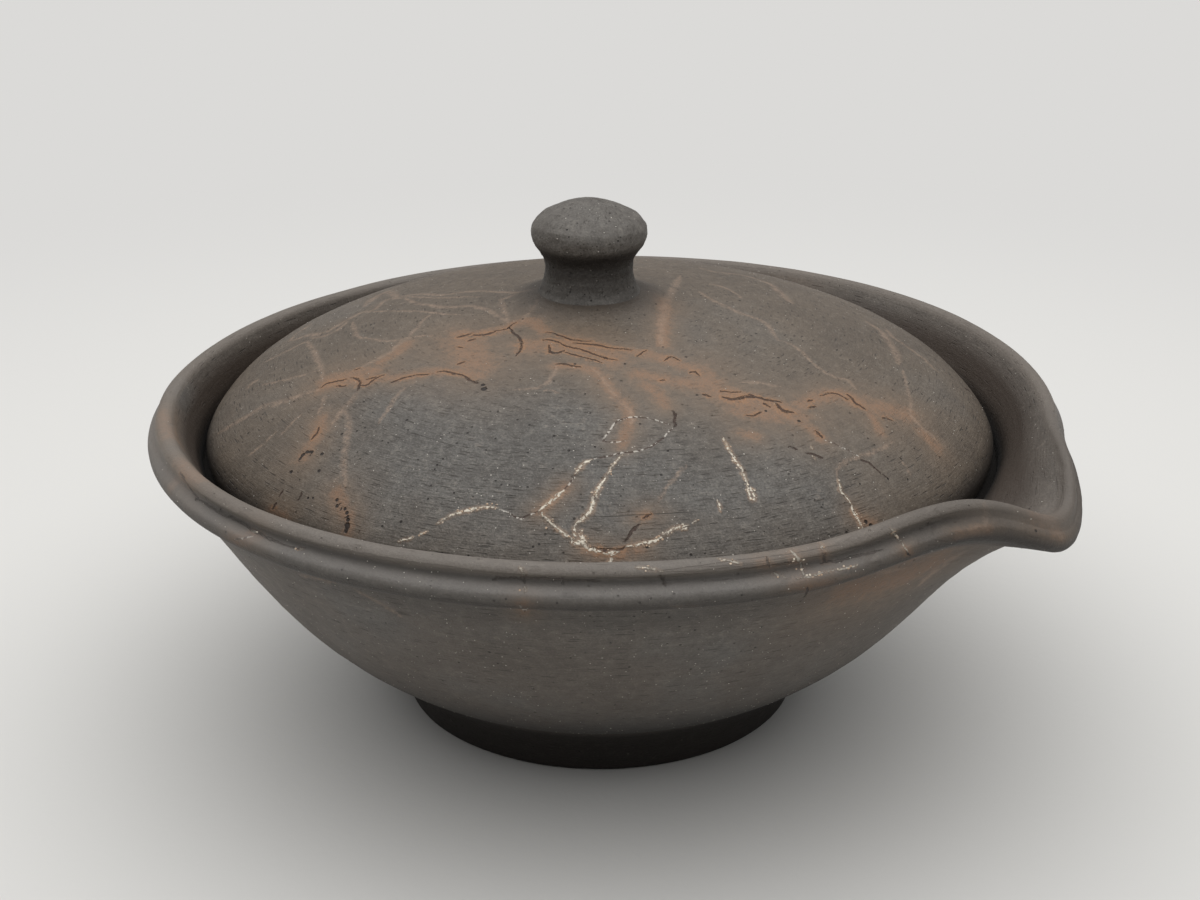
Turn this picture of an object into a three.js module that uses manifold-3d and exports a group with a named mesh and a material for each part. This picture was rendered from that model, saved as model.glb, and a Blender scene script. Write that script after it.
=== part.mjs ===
// A shiboridashi: a wide, handleless pouring bowl for green tea, with a lid that rests on a ledge inside
// the rim and holds the leaves back while the tea runs out over a spout pulled from the rim.
// Millimetres. The table is z = 0, the spout points along +X, and the origin is the middle of the footprint.
import * as THREE from 'three';
import * as BufferGeometryUtils from 'three/addons/utils/BufferGeometryUtils.js';
import Module from 'manifold-3d';

const wasm = await Module();
wasm.setup();

// Foot ring, luted to the underside of the bowl
const footHeight = 6.8;
const footBottomRadius = 26.8;
const footWaistOut = 0.5;
const footWaistHeight = 4;
const footTopRadius = 29.4;
const footWidth = 5;
const footBevel = 0.8;

// Bowl: the thrown wall
const footCrease = 0.8;
const wallThickness = 4;
const floorThickness = 3.4;
const lowerBellyRadius = 41.7;
const lowerBellyHeight = 13.3;
const upperBellyRadius = 47.4;
const upperBellyHeight = 21.8;

// Bowl: the rim, an upper lip over a lower roll with a soft groove between them
const rimRadius = 55;
const rimHeight = 43.6;
const lipBeadRadius = 1.2;
const rollRadius = 1.7;
const rollOut = 1.75;
const rollDrop = 2.7;
const rollStartAngle = -55;
const rollEndAngle = 60;
const lipEndAngle = 150;
const tuckOut = 1.1;
const tuckDrop = 5.3;
const outOfRound = 1.85;
const ovalRootCurve = 4.5;

// Bowl: the spout, pulled out of the soft rim between two lifted shoulders
const flareOut = 4.2;
const flareSpread = 45;
const pullOut = 5.6;
const pullSpread = 10.7;
const shoulderOut = 0.7;
const shoulderLift = 1.7;
const shoulderSpread = 16.2;
const shoulderAngle = 3.5;
const lipDrop = 5.6;
const lipDropSpread = 7.6;
const lipThinning = 0.22;
const lipThinningSpread = 15;
const lipThinningAngle = 11;
const spoutRootHeight = 14.6;
const spoutRootCurve = 3.4;

// Lid: a domed shell with a blunt edge
const lidRadius = 51.7;
const lidEdgeHeight = 2.5;
const lidFootInset = 0.9;
const lidFootWidth = 2.4;
const lidRise = 16.4;
const lidShoulderInset = 3;
const lidShoulderRise = 7.7;
const lidCrownRadius = 33.6;
const lidCrownDrop = 1.3;
const lidThickness = 3.8;
const hollowTop = 0.95;
const hollowBottom = 0.14;

// Seat: the ledge inside the rim that carries the lid, and the straining grooves cut across it
const seatHeight = 35.8;
const seatWidth = 4.4;
const seatThickness = 1.4;
const throatCurve = 1.4;
const insideTop = 0.82;
const insideBottom = 0.3;
const lidSideGap = 0.6;
const lidSeatGap = 0.2;
const grooveCount = 7;
const grooveRadius = 0.9;
const groovePitch = 3.2;
const grooveRunOut = 1.6;

// Knob, luted to the crown of the lid a little off its centre
const knobHeight = 13.4;
const knobFootRadius = 6.9;
const knobSeamBead = 0.4;
const knobNeckRadius = 5.7;
const knobNeckHeight = 4.6;
const knobCapRadius = 7.4;
const knobCapHeight = 9.2;
const knobTopDip = 0.6;
const knobOffCentre = 1.4;
const knobOffAngle = 217;

// Facets
const bowlSides = 96;
const lidSides = 84;
const footSides = 84;
const knobSides = 40;
const grooveSides = 10;
const spoutCrowding = 0.5;

// Sizes that follow from the ones above
const seatOuterRadius = lidRadius + lidSideGap;
const seatInnerRadius = seatOuterRadius - seatWidth;
const floorHeight = footHeight + floorThickness;
const lidFootHeight = seatHeight + lidSeatGap;
const lidEdge = new THREE.Vector2(lidRadius, lidFootHeight + lidEdgeHeight);
const lidTop = lidEdge.y + lidRise;
const lidFlatRadius = knobFootRadius + knobSeamBead + knobOffCentre;

// Two points closer than this are one point
const samePoint = 1e-4;

const at = (radius, height) => new THREE.Vector2(radius, height);
const line = (from, to) => new THREE.LineCurve(from, to);
const arc = (centre, radius, from, to) => new THREE.EllipseCurve(
  centre.x, centre.y, radius, radius, THREE.MathUtils.degToRad(from), THREE.MathUtils.degToRad(to));

// The points along a run of curves, without repeating the ones where two curves meet, each with its stretch.
function stations(stretches) {
  const found = [];
  for (const stretch of stretches) {
    for (const point of stretch.sample ?? stretch.curve.getPoints(stretch.steps)) {
      const last = found.at(-1);
      if (!last || last.point.distanceTo(point) > samePoint) found.push({ point, stretch });
    }
  }
  return found;
}

const trace = (stretches) => stations(stretches).map(({ point }) => point);

// Points beside a curve, at a distance to its left, over part of its length.
function beside(curve, distance, from, to, steps) {
  const points = [];
  for (let i = 0; i <= steps; i += 1) {
    const t = THREE.MathUtils.lerp(from, to, i / steps);
    const tangent = curve.getTangent(t);
    points.push(curve.getPoint(t).add(at(-tangent.y, tangent.x).multiplyScalar(distance)));
  }
  return points;
}

// A profile turned about the upright axis.
function turned(points, sides) {
  return new THREE.LatheGeometry(points, sides).rotateX(Math.PI / 2);
}

const wall = new THREE.CubicBezierCurve(
  at(footTopRadius + footCrease, footHeight),
  at(lowerBellyRadius, lowerBellyHeight),
  at(upperBellyRadius, upperBellyHeight),
  at(rimRadius + tuckOut, rimHeight - tuckDrop));

// How far a point of the outer wall follows the oval rim and the spout, and whether it thins with the rim.
function outerFollow(point) {
  const rise = (point.y - footHeight) / (rimHeight - footHeight);
  const reach = Math.max(0, (point.y - spoutRootHeight) / (rimHeight - spoutRootHeight));
  return { oval: rise ** ovalRootCurve, spout: reach ** spoutRootCurve, thinning: 0 };
}

// The same for the throat, the inner wall between the ledge and the rim.
function throatFollow(point) {
  const rise = (point.y - seatHeight) / (rimHeight - seatHeight);
  return { oval: rise, spout: rise ** throatCurve, thinning: 0 };
}

const stillFollow = () => ({ oval: 0, spout: 0, thinning: 0 });
const rimFollow = () => ({ oval: 1, spout: 1, thinning: 1 });

// The bowl's section from the middle of the underside, up the outside, over the rim and down the inside.
function bowlStretches() {
  const roll = arc(at(rimRadius + rollOut, rimHeight - rollDrop), rollRadius,
    rollStartAngle, rollEndAngle);
  const lip = arc(at(rimRadius + lipBeadRadius, rimHeight - lipBeadRadius / 2), lipBeadRadius,
    0, lipEndAngle);
  const lipEnd = lip.getPoint(1);
  const seatOuter = at(seatOuterRadius, seatHeight);
  const seatInner = at(seatInnerRadius, seatHeight);
  const throat = new THREE.QuadraticBezierCurve(
    lipEnd, at(seatOuterRadius + lidSideGap, (seatHeight + rimHeight) / 2), seatOuter);
  const inside = beside(wall, wallThickness, insideTop, insideBottom, 6);
  const foot = inside.at(-1);
  const slope = wall.getTangent(insideBottom);
  const floorEdge = at(foot.x - slope.x * (foot.y - floorHeight) / slope.y, floorHeight);
  const dish = new THREE.QuadraticBezierCurve(foot, floorEdge, at(0, floorHeight));
  return [
    { curve: line(at(0, footHeight), wall.v0), steps: 1, follow: stillFollow },
    { curve: wall, steps: 9, follow: outerFollow },
    { curve: roll, steps: 5, follow: rimFollow },
    { curve: lip, steps: 4, follow: rimFollow },
    { curve: throat, steps: 5, follow: throatFollow },
    { curve: line(seatOuter, seatInner), steps: 1, follow: stillFollow },
    { curve: line(seatInner, at(seatInnerRadius, seatHeight - seatThickness)), steps: 1, follow: stillFollow },
    { sample: inside, follow: stillFollow },
    { curve: dish, steps: 4, follow: stillFollow },
  ];
}

const bell = (angle, spread) => Math.exp(-((angle / spread) ** 2));

// What the potter's fingers do to the rim at an angle from the spout, in degrees.
function pulledRim(angle) {
  const shoulders = bell(angle - shoulderAngle, shoulderSpread)
    + bell(angle + shoulderAngle, shoulderSpread);
  return {
    out: flareOut * bell(angle, flareSpread) + pullOut * bell(angle, pullSpread) + shoulderOut * shoulders,
    up: shoulderLift * shoulders - lipDrop * bell(angle, lipDropSpread),
    squeeze: lipThinning * bell(angle - lipThinningAngle, lipThinningSpread),
    oval: -outOfRound * Math.cos(2 * THREE.MathUtils.degToRad(angle)),
  };
}

// Moves each point of the thrown bowl as the oval rim and the pulled spout ask.
function pullSpout(geometry, stretches) {
  const outline = stations(stretches);
  const position = geometry.attributes.position;
  for (let i = 0; i < position.count; i += 1) {
    const { point, stretch } = outline[i % outline.length];
    const follow = stretch.follow(point);
    const even = 2 * Math.PI * Math.floor(i / outline.length) / bowlSides;
    const turn = even - spoutCrowding * Math.sin(even);
    const angle = THREE.MathUtils.radToDeg(turn > Math.PI ? turn - 2 * Math.PI : turn);
    const pulled = pulledRim(angle);
    const squeeze = pulled.squeeze * follow.thinning;
    const radius = point.x + follow.oval * pulled.oval + follow.spout * pulled.out
      - squeeze * (point.x - rimRadius);
    const height = point.y + follow.spout * pulled.up - squeeze * (point.y - rimHeight);
    position.setXYZ(i, radius * Math.cos(turn), radius * Math.sin(turn), height);
  }
  return geometry;
}

// A closed mesh as a solid for cutting, and back.
function toSolid(geometry) {
  const bare = geometry.clone();
  bare.deleteAttribute('normal');
  bare.deleteAttribute('uv');
  const merged = BufferGeometryUtils.mergeVertices(bare, samePoint);
  const corners = merged.index.array;
  const triangles = [];
  for (let i = 0; i < corners.length; i += 3) {
    const [a, b, c] = corners.slice(i, i + 3);
    if (a !== b && b !== c && c !== a) triangles.push(a, b, c);
  }
  return new wasm.Manifold(new wasm.Mesh({
    numProp: 3,
    vertProperties: new Float32Array(merged.attributes.position.array),
    triVerts: new Uint32Array(triangles),
  }));
}

function fromSolid(solid) {
  const { vertProperties, triVerts } = solid.getMesh();
  const geometry = new THREE.BufferGeometry();
  geometry.setAttribute('position', new THREE.BufferAttribute(new Float32Array(vertProperties), 3));
  geometry.setIndex(new THREE.BufferAttribute(new Uint32Array(triVerts), 1));
  return geometry;
}

// One round-bottomed groove lying across the ledge, its middle at the height of the seat.
function strainingGroove(offset) {
  const start = seatInnerRadius - grooveRunOut;
  const end = seatOuterRadius + grooveRunOut;
  const groove = new THREE.CylinderGeometry(grooveRadius, grooveRadius, end - start, grooveSides);
  groove.rotateZ(Math.PI / 2);
  groove.translate((start + end) / 2, 0, seatHeight);
  groove.rotateZ(offset / seatOuterRadius);
  return groove;
}

function bowlGeometry() {
  const stretches = bowlStretches();
  const thrown = turned(trace(stretches), bowlSides);
  let bowl = toSolid(pullSpout(thrown, stretches));
  for (let i = 0; i < grooveCount; i += 1) {
    const offset = groovePitch * (i - (grooveCount - 1) / 2);
    bowl = bowl.subtract(toSolid(strainingGroove(offset)));
  }
  return fromSolid(bowl);
}

function footGeometry() {
  const innerRadius = footBottomRadius - footWidth;
  const flare = new THREE.QuadraticBezierCurve(
    at(footBottomRadius, footBevel), at(footBottomRadius + footWaistOut, footWaistHeight),
    at(footTopRadius, footHeight));
  const outline = [
    at(innerRadius, footHeight),
    at(innerRadius, footBevel),
    at(innerRadius + footBevel, 0),
    at(footBottomRadius - footBevel, 0),
    ...flare.getPoints(4),
    at(innerRadius, footHeight),
  ];
  return turned(outline, footSides);
}

function lidGeometry() {
  const dome = new THREE.CubicBezierCurve(
    lidEdge,
    at(lidRadius - lidShoulderInset, lidEdge.y + lidShoulderRise),
    at(lidCrownRadius, lidTop - lidCrownDrop),
    at(lidFlatRadius, lidTop));
  const footEdge = at(lidRadius - lidFootInset, lidFootHeight);
  const footInner = at(footEdge.x - lidFootWidth, lidFootHeight);
  const hollow = beside(dome, lidThickness, hollowTop, hollowBottom, 8);
  const underCrown = new THREE.QuadraticBezierCurve(
    at(0, lidTop - lidThickness), at(lidFlatRadius, lidTop - lidThickness), hollow[0]);
  return turned(trace([
    { curve: underCrown, steps: 2 },
    { sample: hollow },
    { curve: line(footInner, footEdge), steps: 1 },
    { curve: new THREE.QuadraticBezierCurve(footEdge, at(lidRadius, lidFootHeight), lidEdge), steps: 3 },
    { curve: dome, steps: 12 },
    { curve: line(at(lidFlatRadius, lidTop), at(0, lidTop)), steps: 1 },
  ]), lidSides);
}

function knobGeometry() {
  const foot = at(knobFootRadius + knobSeamBead, 0);
  const bead = at(knobFootRadius + knobSeamBead, knobSeamBead);
  const shank = at(knobFootRadius, 2 * knobSeamBead);
  const neck = at(knobNeckRadius, knobNeckHeight);
  const cap = at(knobCapRadius, knobCapHeight);
  const underCap = (knobNeckHeight + knobCapHeight) / 2;
  const overCap = (knobCapHeight + knobHeight) / 2;
  const crown = at(knobCapRadius / 2, knobHeight - knobTopDip);
  const underside = new THREE.CubicBezierCurve(
    neck, at(knobNeckRadius, underCap), at(knobCapRadius, underCap), cap);
  const dome = new THREE.CubicBezierCurve(cap, at(knobCapRadius, overCap), crown, at(0, knobHeight));
  return turned(trace([
    { curve: line(at(0, 0), foot), steps: 1 },
    { curve: line(foot, bead), steps: 1 },
    { curve: line(bead, shank), steps: 1 },
    { curve: new THREE.QuadraticBezierCurve(shank, at(knobNeckRadius, knobNeckHeight / 2), neck), steps: 4 },
    { curve: underside, steps: 6 },
    { curve: dome, steps: 7 },
  ]), knobSides);
}

const clay = (colour) => new THREE.MeshStandardMaterial({ color: colour, roughness: 0.85, metalness: 0 });

function named(name, geometry, colour) {
  const mesh = new THREE.Mesh(geometry, clay(colour));
  mesh.name = name;
  return mesh;
}

const bowl = named('bowl', bowlGeometry(), 0x4f4b47);
const foot = named('foot_ring', footGeometry(), 0x3a3734);
const lid = named('lid', lidGeometry(), 0x6b655f);
const knob = named('knob', knobGeometry(), 0x4a4743);
const knobTurn = THREE.MathUtils.degToRad(knobOffAngle);
knob.position.set(knobOffCentre * Math.cos(knobTurn), knobOffCentre * Math.sin(knobTurn), lidTop);

const group = new THREE.Group();
group.add(bowl, foot, lid, knob);

// The turning axis stands behind the origin by half of what the spout adds to the footprint.
group.position.x = -new THREE.Box3().setFromObject(bowl).getCenter(new THREE.Vector3()).x;
group.updateMatrixWorld(true);

export default group;
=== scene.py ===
import bpy
import math
import numpy as np
from mathutils import Matrix, Vector
from mathutils.bvhtree import BVHTree


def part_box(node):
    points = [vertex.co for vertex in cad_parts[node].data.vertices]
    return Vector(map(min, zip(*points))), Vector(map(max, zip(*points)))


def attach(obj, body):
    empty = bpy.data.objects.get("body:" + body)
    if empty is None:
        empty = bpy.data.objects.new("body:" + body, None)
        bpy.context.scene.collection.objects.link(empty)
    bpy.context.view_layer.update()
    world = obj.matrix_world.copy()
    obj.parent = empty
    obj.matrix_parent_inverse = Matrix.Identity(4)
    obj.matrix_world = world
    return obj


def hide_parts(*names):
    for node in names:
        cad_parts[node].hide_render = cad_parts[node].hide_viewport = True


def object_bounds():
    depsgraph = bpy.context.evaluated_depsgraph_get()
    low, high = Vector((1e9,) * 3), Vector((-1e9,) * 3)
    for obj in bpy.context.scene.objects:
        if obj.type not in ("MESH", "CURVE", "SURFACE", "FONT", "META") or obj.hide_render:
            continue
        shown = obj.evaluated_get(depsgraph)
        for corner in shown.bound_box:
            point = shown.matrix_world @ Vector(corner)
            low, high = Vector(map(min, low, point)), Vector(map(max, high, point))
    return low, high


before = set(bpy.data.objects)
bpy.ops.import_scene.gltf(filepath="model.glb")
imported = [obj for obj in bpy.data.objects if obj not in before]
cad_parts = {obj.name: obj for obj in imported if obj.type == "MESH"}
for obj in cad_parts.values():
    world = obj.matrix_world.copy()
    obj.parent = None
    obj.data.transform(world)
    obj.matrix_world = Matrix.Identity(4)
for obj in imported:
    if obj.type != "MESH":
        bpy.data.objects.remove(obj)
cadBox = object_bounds()
scene = bpy.context.scene
mm = 0.001


class Sizes(dict):  # a dictionary of values that are read as sizes.name
    __getattr__ = dict.__getitem__


# the turning axis of the pot, read from the round lid of the frame
lidLow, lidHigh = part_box("lid")
knobLow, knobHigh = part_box("knob")
axisX = (lidLow.x + lidHigh.x) / 2
print("frame: turning axis at x", round(axisX / mm, 2), "mm")


# one small class for node maths, used by the shaders and by the Geometry Nodes trees
class Wire:
    def __init__(self, tree, socket):
        self.tree = tree
        self.socket = socket

    def make(self, kind, settings=None, sockets=None, output=0):
        return Wire(self.tree, addNode(self.tree, kind, settings, sockets).outputs[output])

    def maths(self, operation, *others):
        return self.make("ShaderNodeMath", {"operation": operation}, dict(enumerate((self, *others))))

    def vector(self, operation, *others, output=0):
        sockets = dict(enumerate((self, *others)))
        return self.make("ShaderNodeVectorMath", {"operation": operation}, sockets, output)

    def __add__(self, other): return self.maths("ADD", other)
    def __radd__(self, other): return self.maths("ADD", other)
    def __sub__(self, other): return self.maths("SUBTRACT", other)
    def __rsub__(self, other): return self.maths("MULTIPLY", -1.0).maths("ADD", other)
    def __mul__(self, other): return self.maths("MULTIPLY", other)
    def __rmul__(self, other): return self.maths("MULTIPLY", other)
    def __truediv__(self, other): return self.maths("DIVIDE", other)
    def __pow__(self, other): return self.maths("POWER", other)
    def __abs__(self): return self.maths("ABSOLUTE")

    def parts(self):
        node = addNode(self.tree, "ShaderNodeSeparateXYZ", None, {0: self})
        return [Wire(self.tree, socket) for socket in node.outputs]

    def joined(self, y, z):
        return self.make("ShaderNodeCombineXYZ", None, {0: self, 1: y, 2: z})

    def span(self, low, high, bottom=0.0, top=1.0):  # a soft step from bottom to top
        sockets = {0: self, 1: low, 2: high, 3: bottom, 4: top}
        return self.make("ShaderNodeMapRange", {"interpolation_type": "SMOOTHSTEP"}, sockets)

    def noise(self, scale, detail=2.0, roughness=0.5):
        sockets = {"Vector": self, "Scale": scale, "Detail": detail, "Roughness": roughness}
        return self.make("ShaderNodeTexNoise", None, sockets)

    def scaled(self, factor):
        return self.make("ShaderNodeVectorMath", {"operation": "SCALE"}, {0: self, "Scale": factor})

    def tint(self, colour, factor):  # another colour laid over this one
        return blend(factor, self, colour)

    def out(self, kind):  # the end of the tree
        self.tree.links.new(self.socket, self.tree.nodes.new(kind).inputs[0])


def blend(factor, first, second):
    return factor.make("ShaderNodeMix", {"data_type": "RGBA"}, {0: factor, 6: first, 7: second}, output=2)


def addNode(tree, kind, settings=None, sockets=None):
    node = tree.nodes.new(kind)
    for name, value in (settings or {}).items():
        setattr(node, name, value)
    for key, value in (sockets or {}).items():
        if isinstance(value, Wire):
            tree.links.new(value.socket, node.inputs[key])
        else:
            node.inputs[key].default_value = value
    return node


def paint(red, green, blue):  # a screen colour, 0 to 255, as the linear colour that nodes take
    def linear(level):
        level /= 255
        return level / 12.92 if level <= 0.04045 else ((level + 0.055) / 1.055) ** 2.4
    return (linear(red), linear(green), linear(blue), 1.0)


def added(name, data):
    thing = bpy.data.objects.new(name, data)
    scene.collection.objects.link(thing)
    return thing


# camera: fitted to the photograph's foot, lid and rim circles
view = Sizes({
    "distance": 264.08,     # mm from the middle of the foot
    "elevation": 28.83,     # degrees above the table
    "azimuth": -53.2,       # degrees round from the spout
    "aimUp": 6.76,          # degrees above the middle of the foot
    "focalPixels": 1850, "width": 1200, "height": 900,      # the lens and the picture in pixels
    "sensor": 36,
})


def lookFrom(view):
    about, up = math.radians(view.azimuth), math.radians(view.elevation)
    back = Vector((math.cos(up) * math.cos(about), math.cos(up) * math.sin(about), math.sin(up)))
    place = back * view.distance * mm + Vector((axisX, 0, 0))
    side = Vector((0, 0, 1)).cross(back).normalized()
    head = back.cross(side)
    ahead = (head * math.tan(math.radians(view.aimUp)) - back).normalized()
    side = ahead.cross(Vector((0, 0, 1))).normalized()
    return place, side, side.cross(ahead), ahead


eye, sideways, upwards, ahead = lookFrom(view)
cameraData = bpy.data.cameras.new("camera")
cameraData.sensor_fit = "HORIZONTAL"
cameraData.sensor_width = view.sensor
cameraData.lens = view.sensor * view.focalPixels / view.width
camera = added("camera", cameraData)
camera.matrix_world = Matrix.Translation(eye) @ Matrix((sideways, upwards, -ahead)).transposed().to_4x4()
scene.camera = camera
print("camera: placed")


# curves for the thrown sections, in mm as (radius, height)
samePoint = 1e-6    # rows closer than this are one


def bezier(*points, count=200):
    t = np.linspace(0, 1, count)[:, None]
    curve = [np.array(point, float) * np.ones_like(t) for point in points]
    while len(curve) > 1:
        curve = [a * (1 - t) + b * t for a, b in zip(curve, curve[1:])]
    return curve[0]


def arc(centre, radius, start, end, count=60):
    angle = np.radians(np.linspace(start, end, count))
    return np.array(centre) + radius * np.stack((np.cos(angle), np.sin(angle)), axis=1)


def beside(curve, distance, start, end, count=80):  # a line to the left of a curve, between two shares of it
    slope = np.gradient(curve, axis=0)
    slope /= np.linalg.norm(slope, axis=1)[:, None]
    away = curve + distance * np.stack((-slope[:, 1], slope[:, 0]), axis=1)
    index = np.linspace(start, end, count) * (len(curve) - 1)
    return np.stack([np.interp(index, np.arange(len(curve)), away[:, k]) for k in (0, 1)], axis=1)


def evenly(curve, steps):  # the same curve in equal steps
    gaps = np.linalg.norm(np.diff(curve, axis=0), axis=1)
    along = np.concatenate(([0], np.cumsum(gaps)))
    wanted = np.linspace(0, along[-1], steps + 1)
    return np.stack([np.interp(wanted, along, curve[:, k]) for k in (0, 1)], axis=1)


def turned(points, angle, middle=(0.0, 0.0)):  # a circle of places for each point of a section
    radius, height = points[:, 0, None], points[:, 1, None]
    return np.stack((middle[0] + radius * np.cos(angle), middle[1] + radius * np.sin(angle),
                     np.repeat(height, len(angle), axis=1)), axis=-1)


def smoothMesh(name, points, faces):
    mesh = bpy.data.meshes.new(name)
    mesh.from_pydata(points, [], faces)
    mesh.shade_smooth()
    return mesh


# a section turned about an upright axis, with poles at both ends. Each stretch is a curve, its number of
# steps and the features it takes part in, stored as numbers on the points
def throwClay(name, stretches, columns, crowding=0.0, middle=(0.0, 0.0)):
    rings, fields = [], {}
    for curve, steps, features in stretches:
        points = evenly(curve, steps)
        shares = {key: make(points) for key, make in features.items()}
        for i, point in enumerate(points):
            if rings and np.hypot(*(rings[-1] - point)) < samePoint:
                continue
            rings.append(point)
            for key in ("oval", "spout", "ledge", "inside", "groove", "lip", "roll", "tuck", "trench"):
                fields.setdefault(key, []).append(float(shares[key][i]) if key in shares else 0.0)
    rings = np.array(rings)
    even = np.arange(columns) * 2 * np.pi / columns
    angle = even - crowding * np.sin(even)
    rows = len(rings) - 2
    grid = turned(rings[1:-1], angle, middle)
    points = np.concatenate(([[*middle, rings[0, 1]]], grid.reshape(-1, 3), [[*middle, rings[-1, 1]]]))
    number = 1 + np.arange(rows * columns).reshape(rows, columns)
    beyond = np.roll(number, -1, axis=1)
    quads = np.stack((number[:-1], beyond[:-1], beyond[1:], number[1:]), axis=-1).reshape(-1, 4)
    first = [(0, b, a) for a, b in zip(number[0], beyond[0])]
    last = [(len(points) - 1, a, b) for a, b in zip(number[-1], beyond[-1])]
    mesh = smoothMesh(name, points.tolist(), quads.tolist() + first + last)
    for key, values in fields.items():
        store(mesh, key, "FLOAT", np.concatenate((values[:1], np.repeat(values[1:-1], columns), values[-1:])))
    return added(name, mesh)


def store(mesh, name, kind, values):  # numbers or vectors on the points of a mesh
    attribute = mesh.attributes.new(name, kind, "POINT")
    key = "vector" if kind == "FLOAT_VECTOR" else "value"
    attribute.data.foreach_set(key, np.asarray(values, np.float32).ravel())


# a Geometry Nodes tree with one named input for each value, ending in Realize Instances and Set Material
def shapeTree(name, values, build, material):
    tree = bpy.data.node_groups.new(name, "GeometryNodeTree")
    tree.interface.new_socket("Geometry", in_out="OUTPUT", socket_type="NodeSocketGeometry")
    tree.interface.new_socket("Geometry", in_out="INPUT", socket_type="NodeSocketGeometry")
    keys = {}
    for key, value in values.items():
        kind = "NodeSocketInt" if isinstance(value, int) else "NodeSocketFloat"
        keys[key] = tree.interface.new_socket(key, in_out="INPUT", socket_type=kind).identifier
    entry = tree.nodes.new("NodeGroupInput")
    wires = Sizes({key: Wire(tree, entry.outputs[key]) for key in values})
    shape = build(Wire(tree, entry.outputs["Geometry"]), wires)
    shape = shape.make("GeometryNodeRealizeInstances", None, {"Geometry": shape})
    shape = shape.make("GeometryNodeSetMaterial", None, {"Geometry": shape, "Material": material})
    shape.out("NodeGroupOutput")
    return tree, keys


def shaped(name, start, values, build, material):  # runs the tree on an object and keeps a plain mesh
    tree, keys = shapeTree(name + "Tree", values, build, material)
    modifier = start.modifiers.new("shape", "NODES")
    modifier.node_group = tree
    for key, value in values.items():
        modifier[keys[key]] = value if isinstance(value, int) else float(value)
    bpy.context.view_layer.update()
    graph = bpy.context.evaluated_depsgraph_get()
    mesh = bpy.data.meshes.new_from_object(start.evaluated_get(graph), preserve_all_data_layers=True,
                                           depsgraph=graph)
    piece = added(name, mesh)
    bpy.data.objects.remove(start)
    bpy.data.node_groups.remove(tree)
    mesh.name = name
    print(name + ":", len(mesh.polygons), "faces")
    return piece


def marked(wire, name, kind="FLOAT"):  # a number or a vector stored on the points of a mesh
    return wire.make("GeometryNodeInputNamedAttribute", {"data_type": kind}, {"Name": name})


def kept(shape, name, value):  # stores a number on the points for the shader
    return shape.make("GeometryNodeStoreNamedAttribute", {"data_type": "FLOAT"},
                      {"Geometry": shape, "Name": name, "Value": value})


def moved(shape, place):
    return shape.make("GeometryNodeSetPosition", None, {"Geometry": shape, "Position": place})


def relief(shape, depth):  # pushes the surface along its normal, by mm
    push = shape.make("GeometryNodeInputNormal").scaled(depth)
    return shape.make("GeometryNodeSetPosition", None, {"Geometry": shape, "Offset": push})


def position(shape):
    return shape.make("GeometryNodeInputPosition")


def heldIn(shape, low=cadBox[0], high=cadBox[1]):  # no point passes this box, which is else the CAD's
    return moved(shape, position(shape).vector("MAXIMUM", tuple(low)).vector("MINIMUM", tuple(high)))


def standing(shape, *box):  # mm to metres, onto the turning axis, held inside the box
    return heldIn(shape.make("GeometryNodeTransform", None, {
        "Geometry": shape, "Scale": (mm, mm, mm), "Translation": (axisX, 0, 0)}), *box)


offAxis = 0.01      # keeps a radius on the axis above nothing
ringTurns = 0.8     # how fast the finger rings change round the pot


def ringWay(x, y, across, turns):  # noise space that runs round the pot, so marks lie along the rings
    radius = (x * x + y * y + offAxis) ** 0.5
    return (x / radius * turns).joined(y / radius * turns, across)


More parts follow.
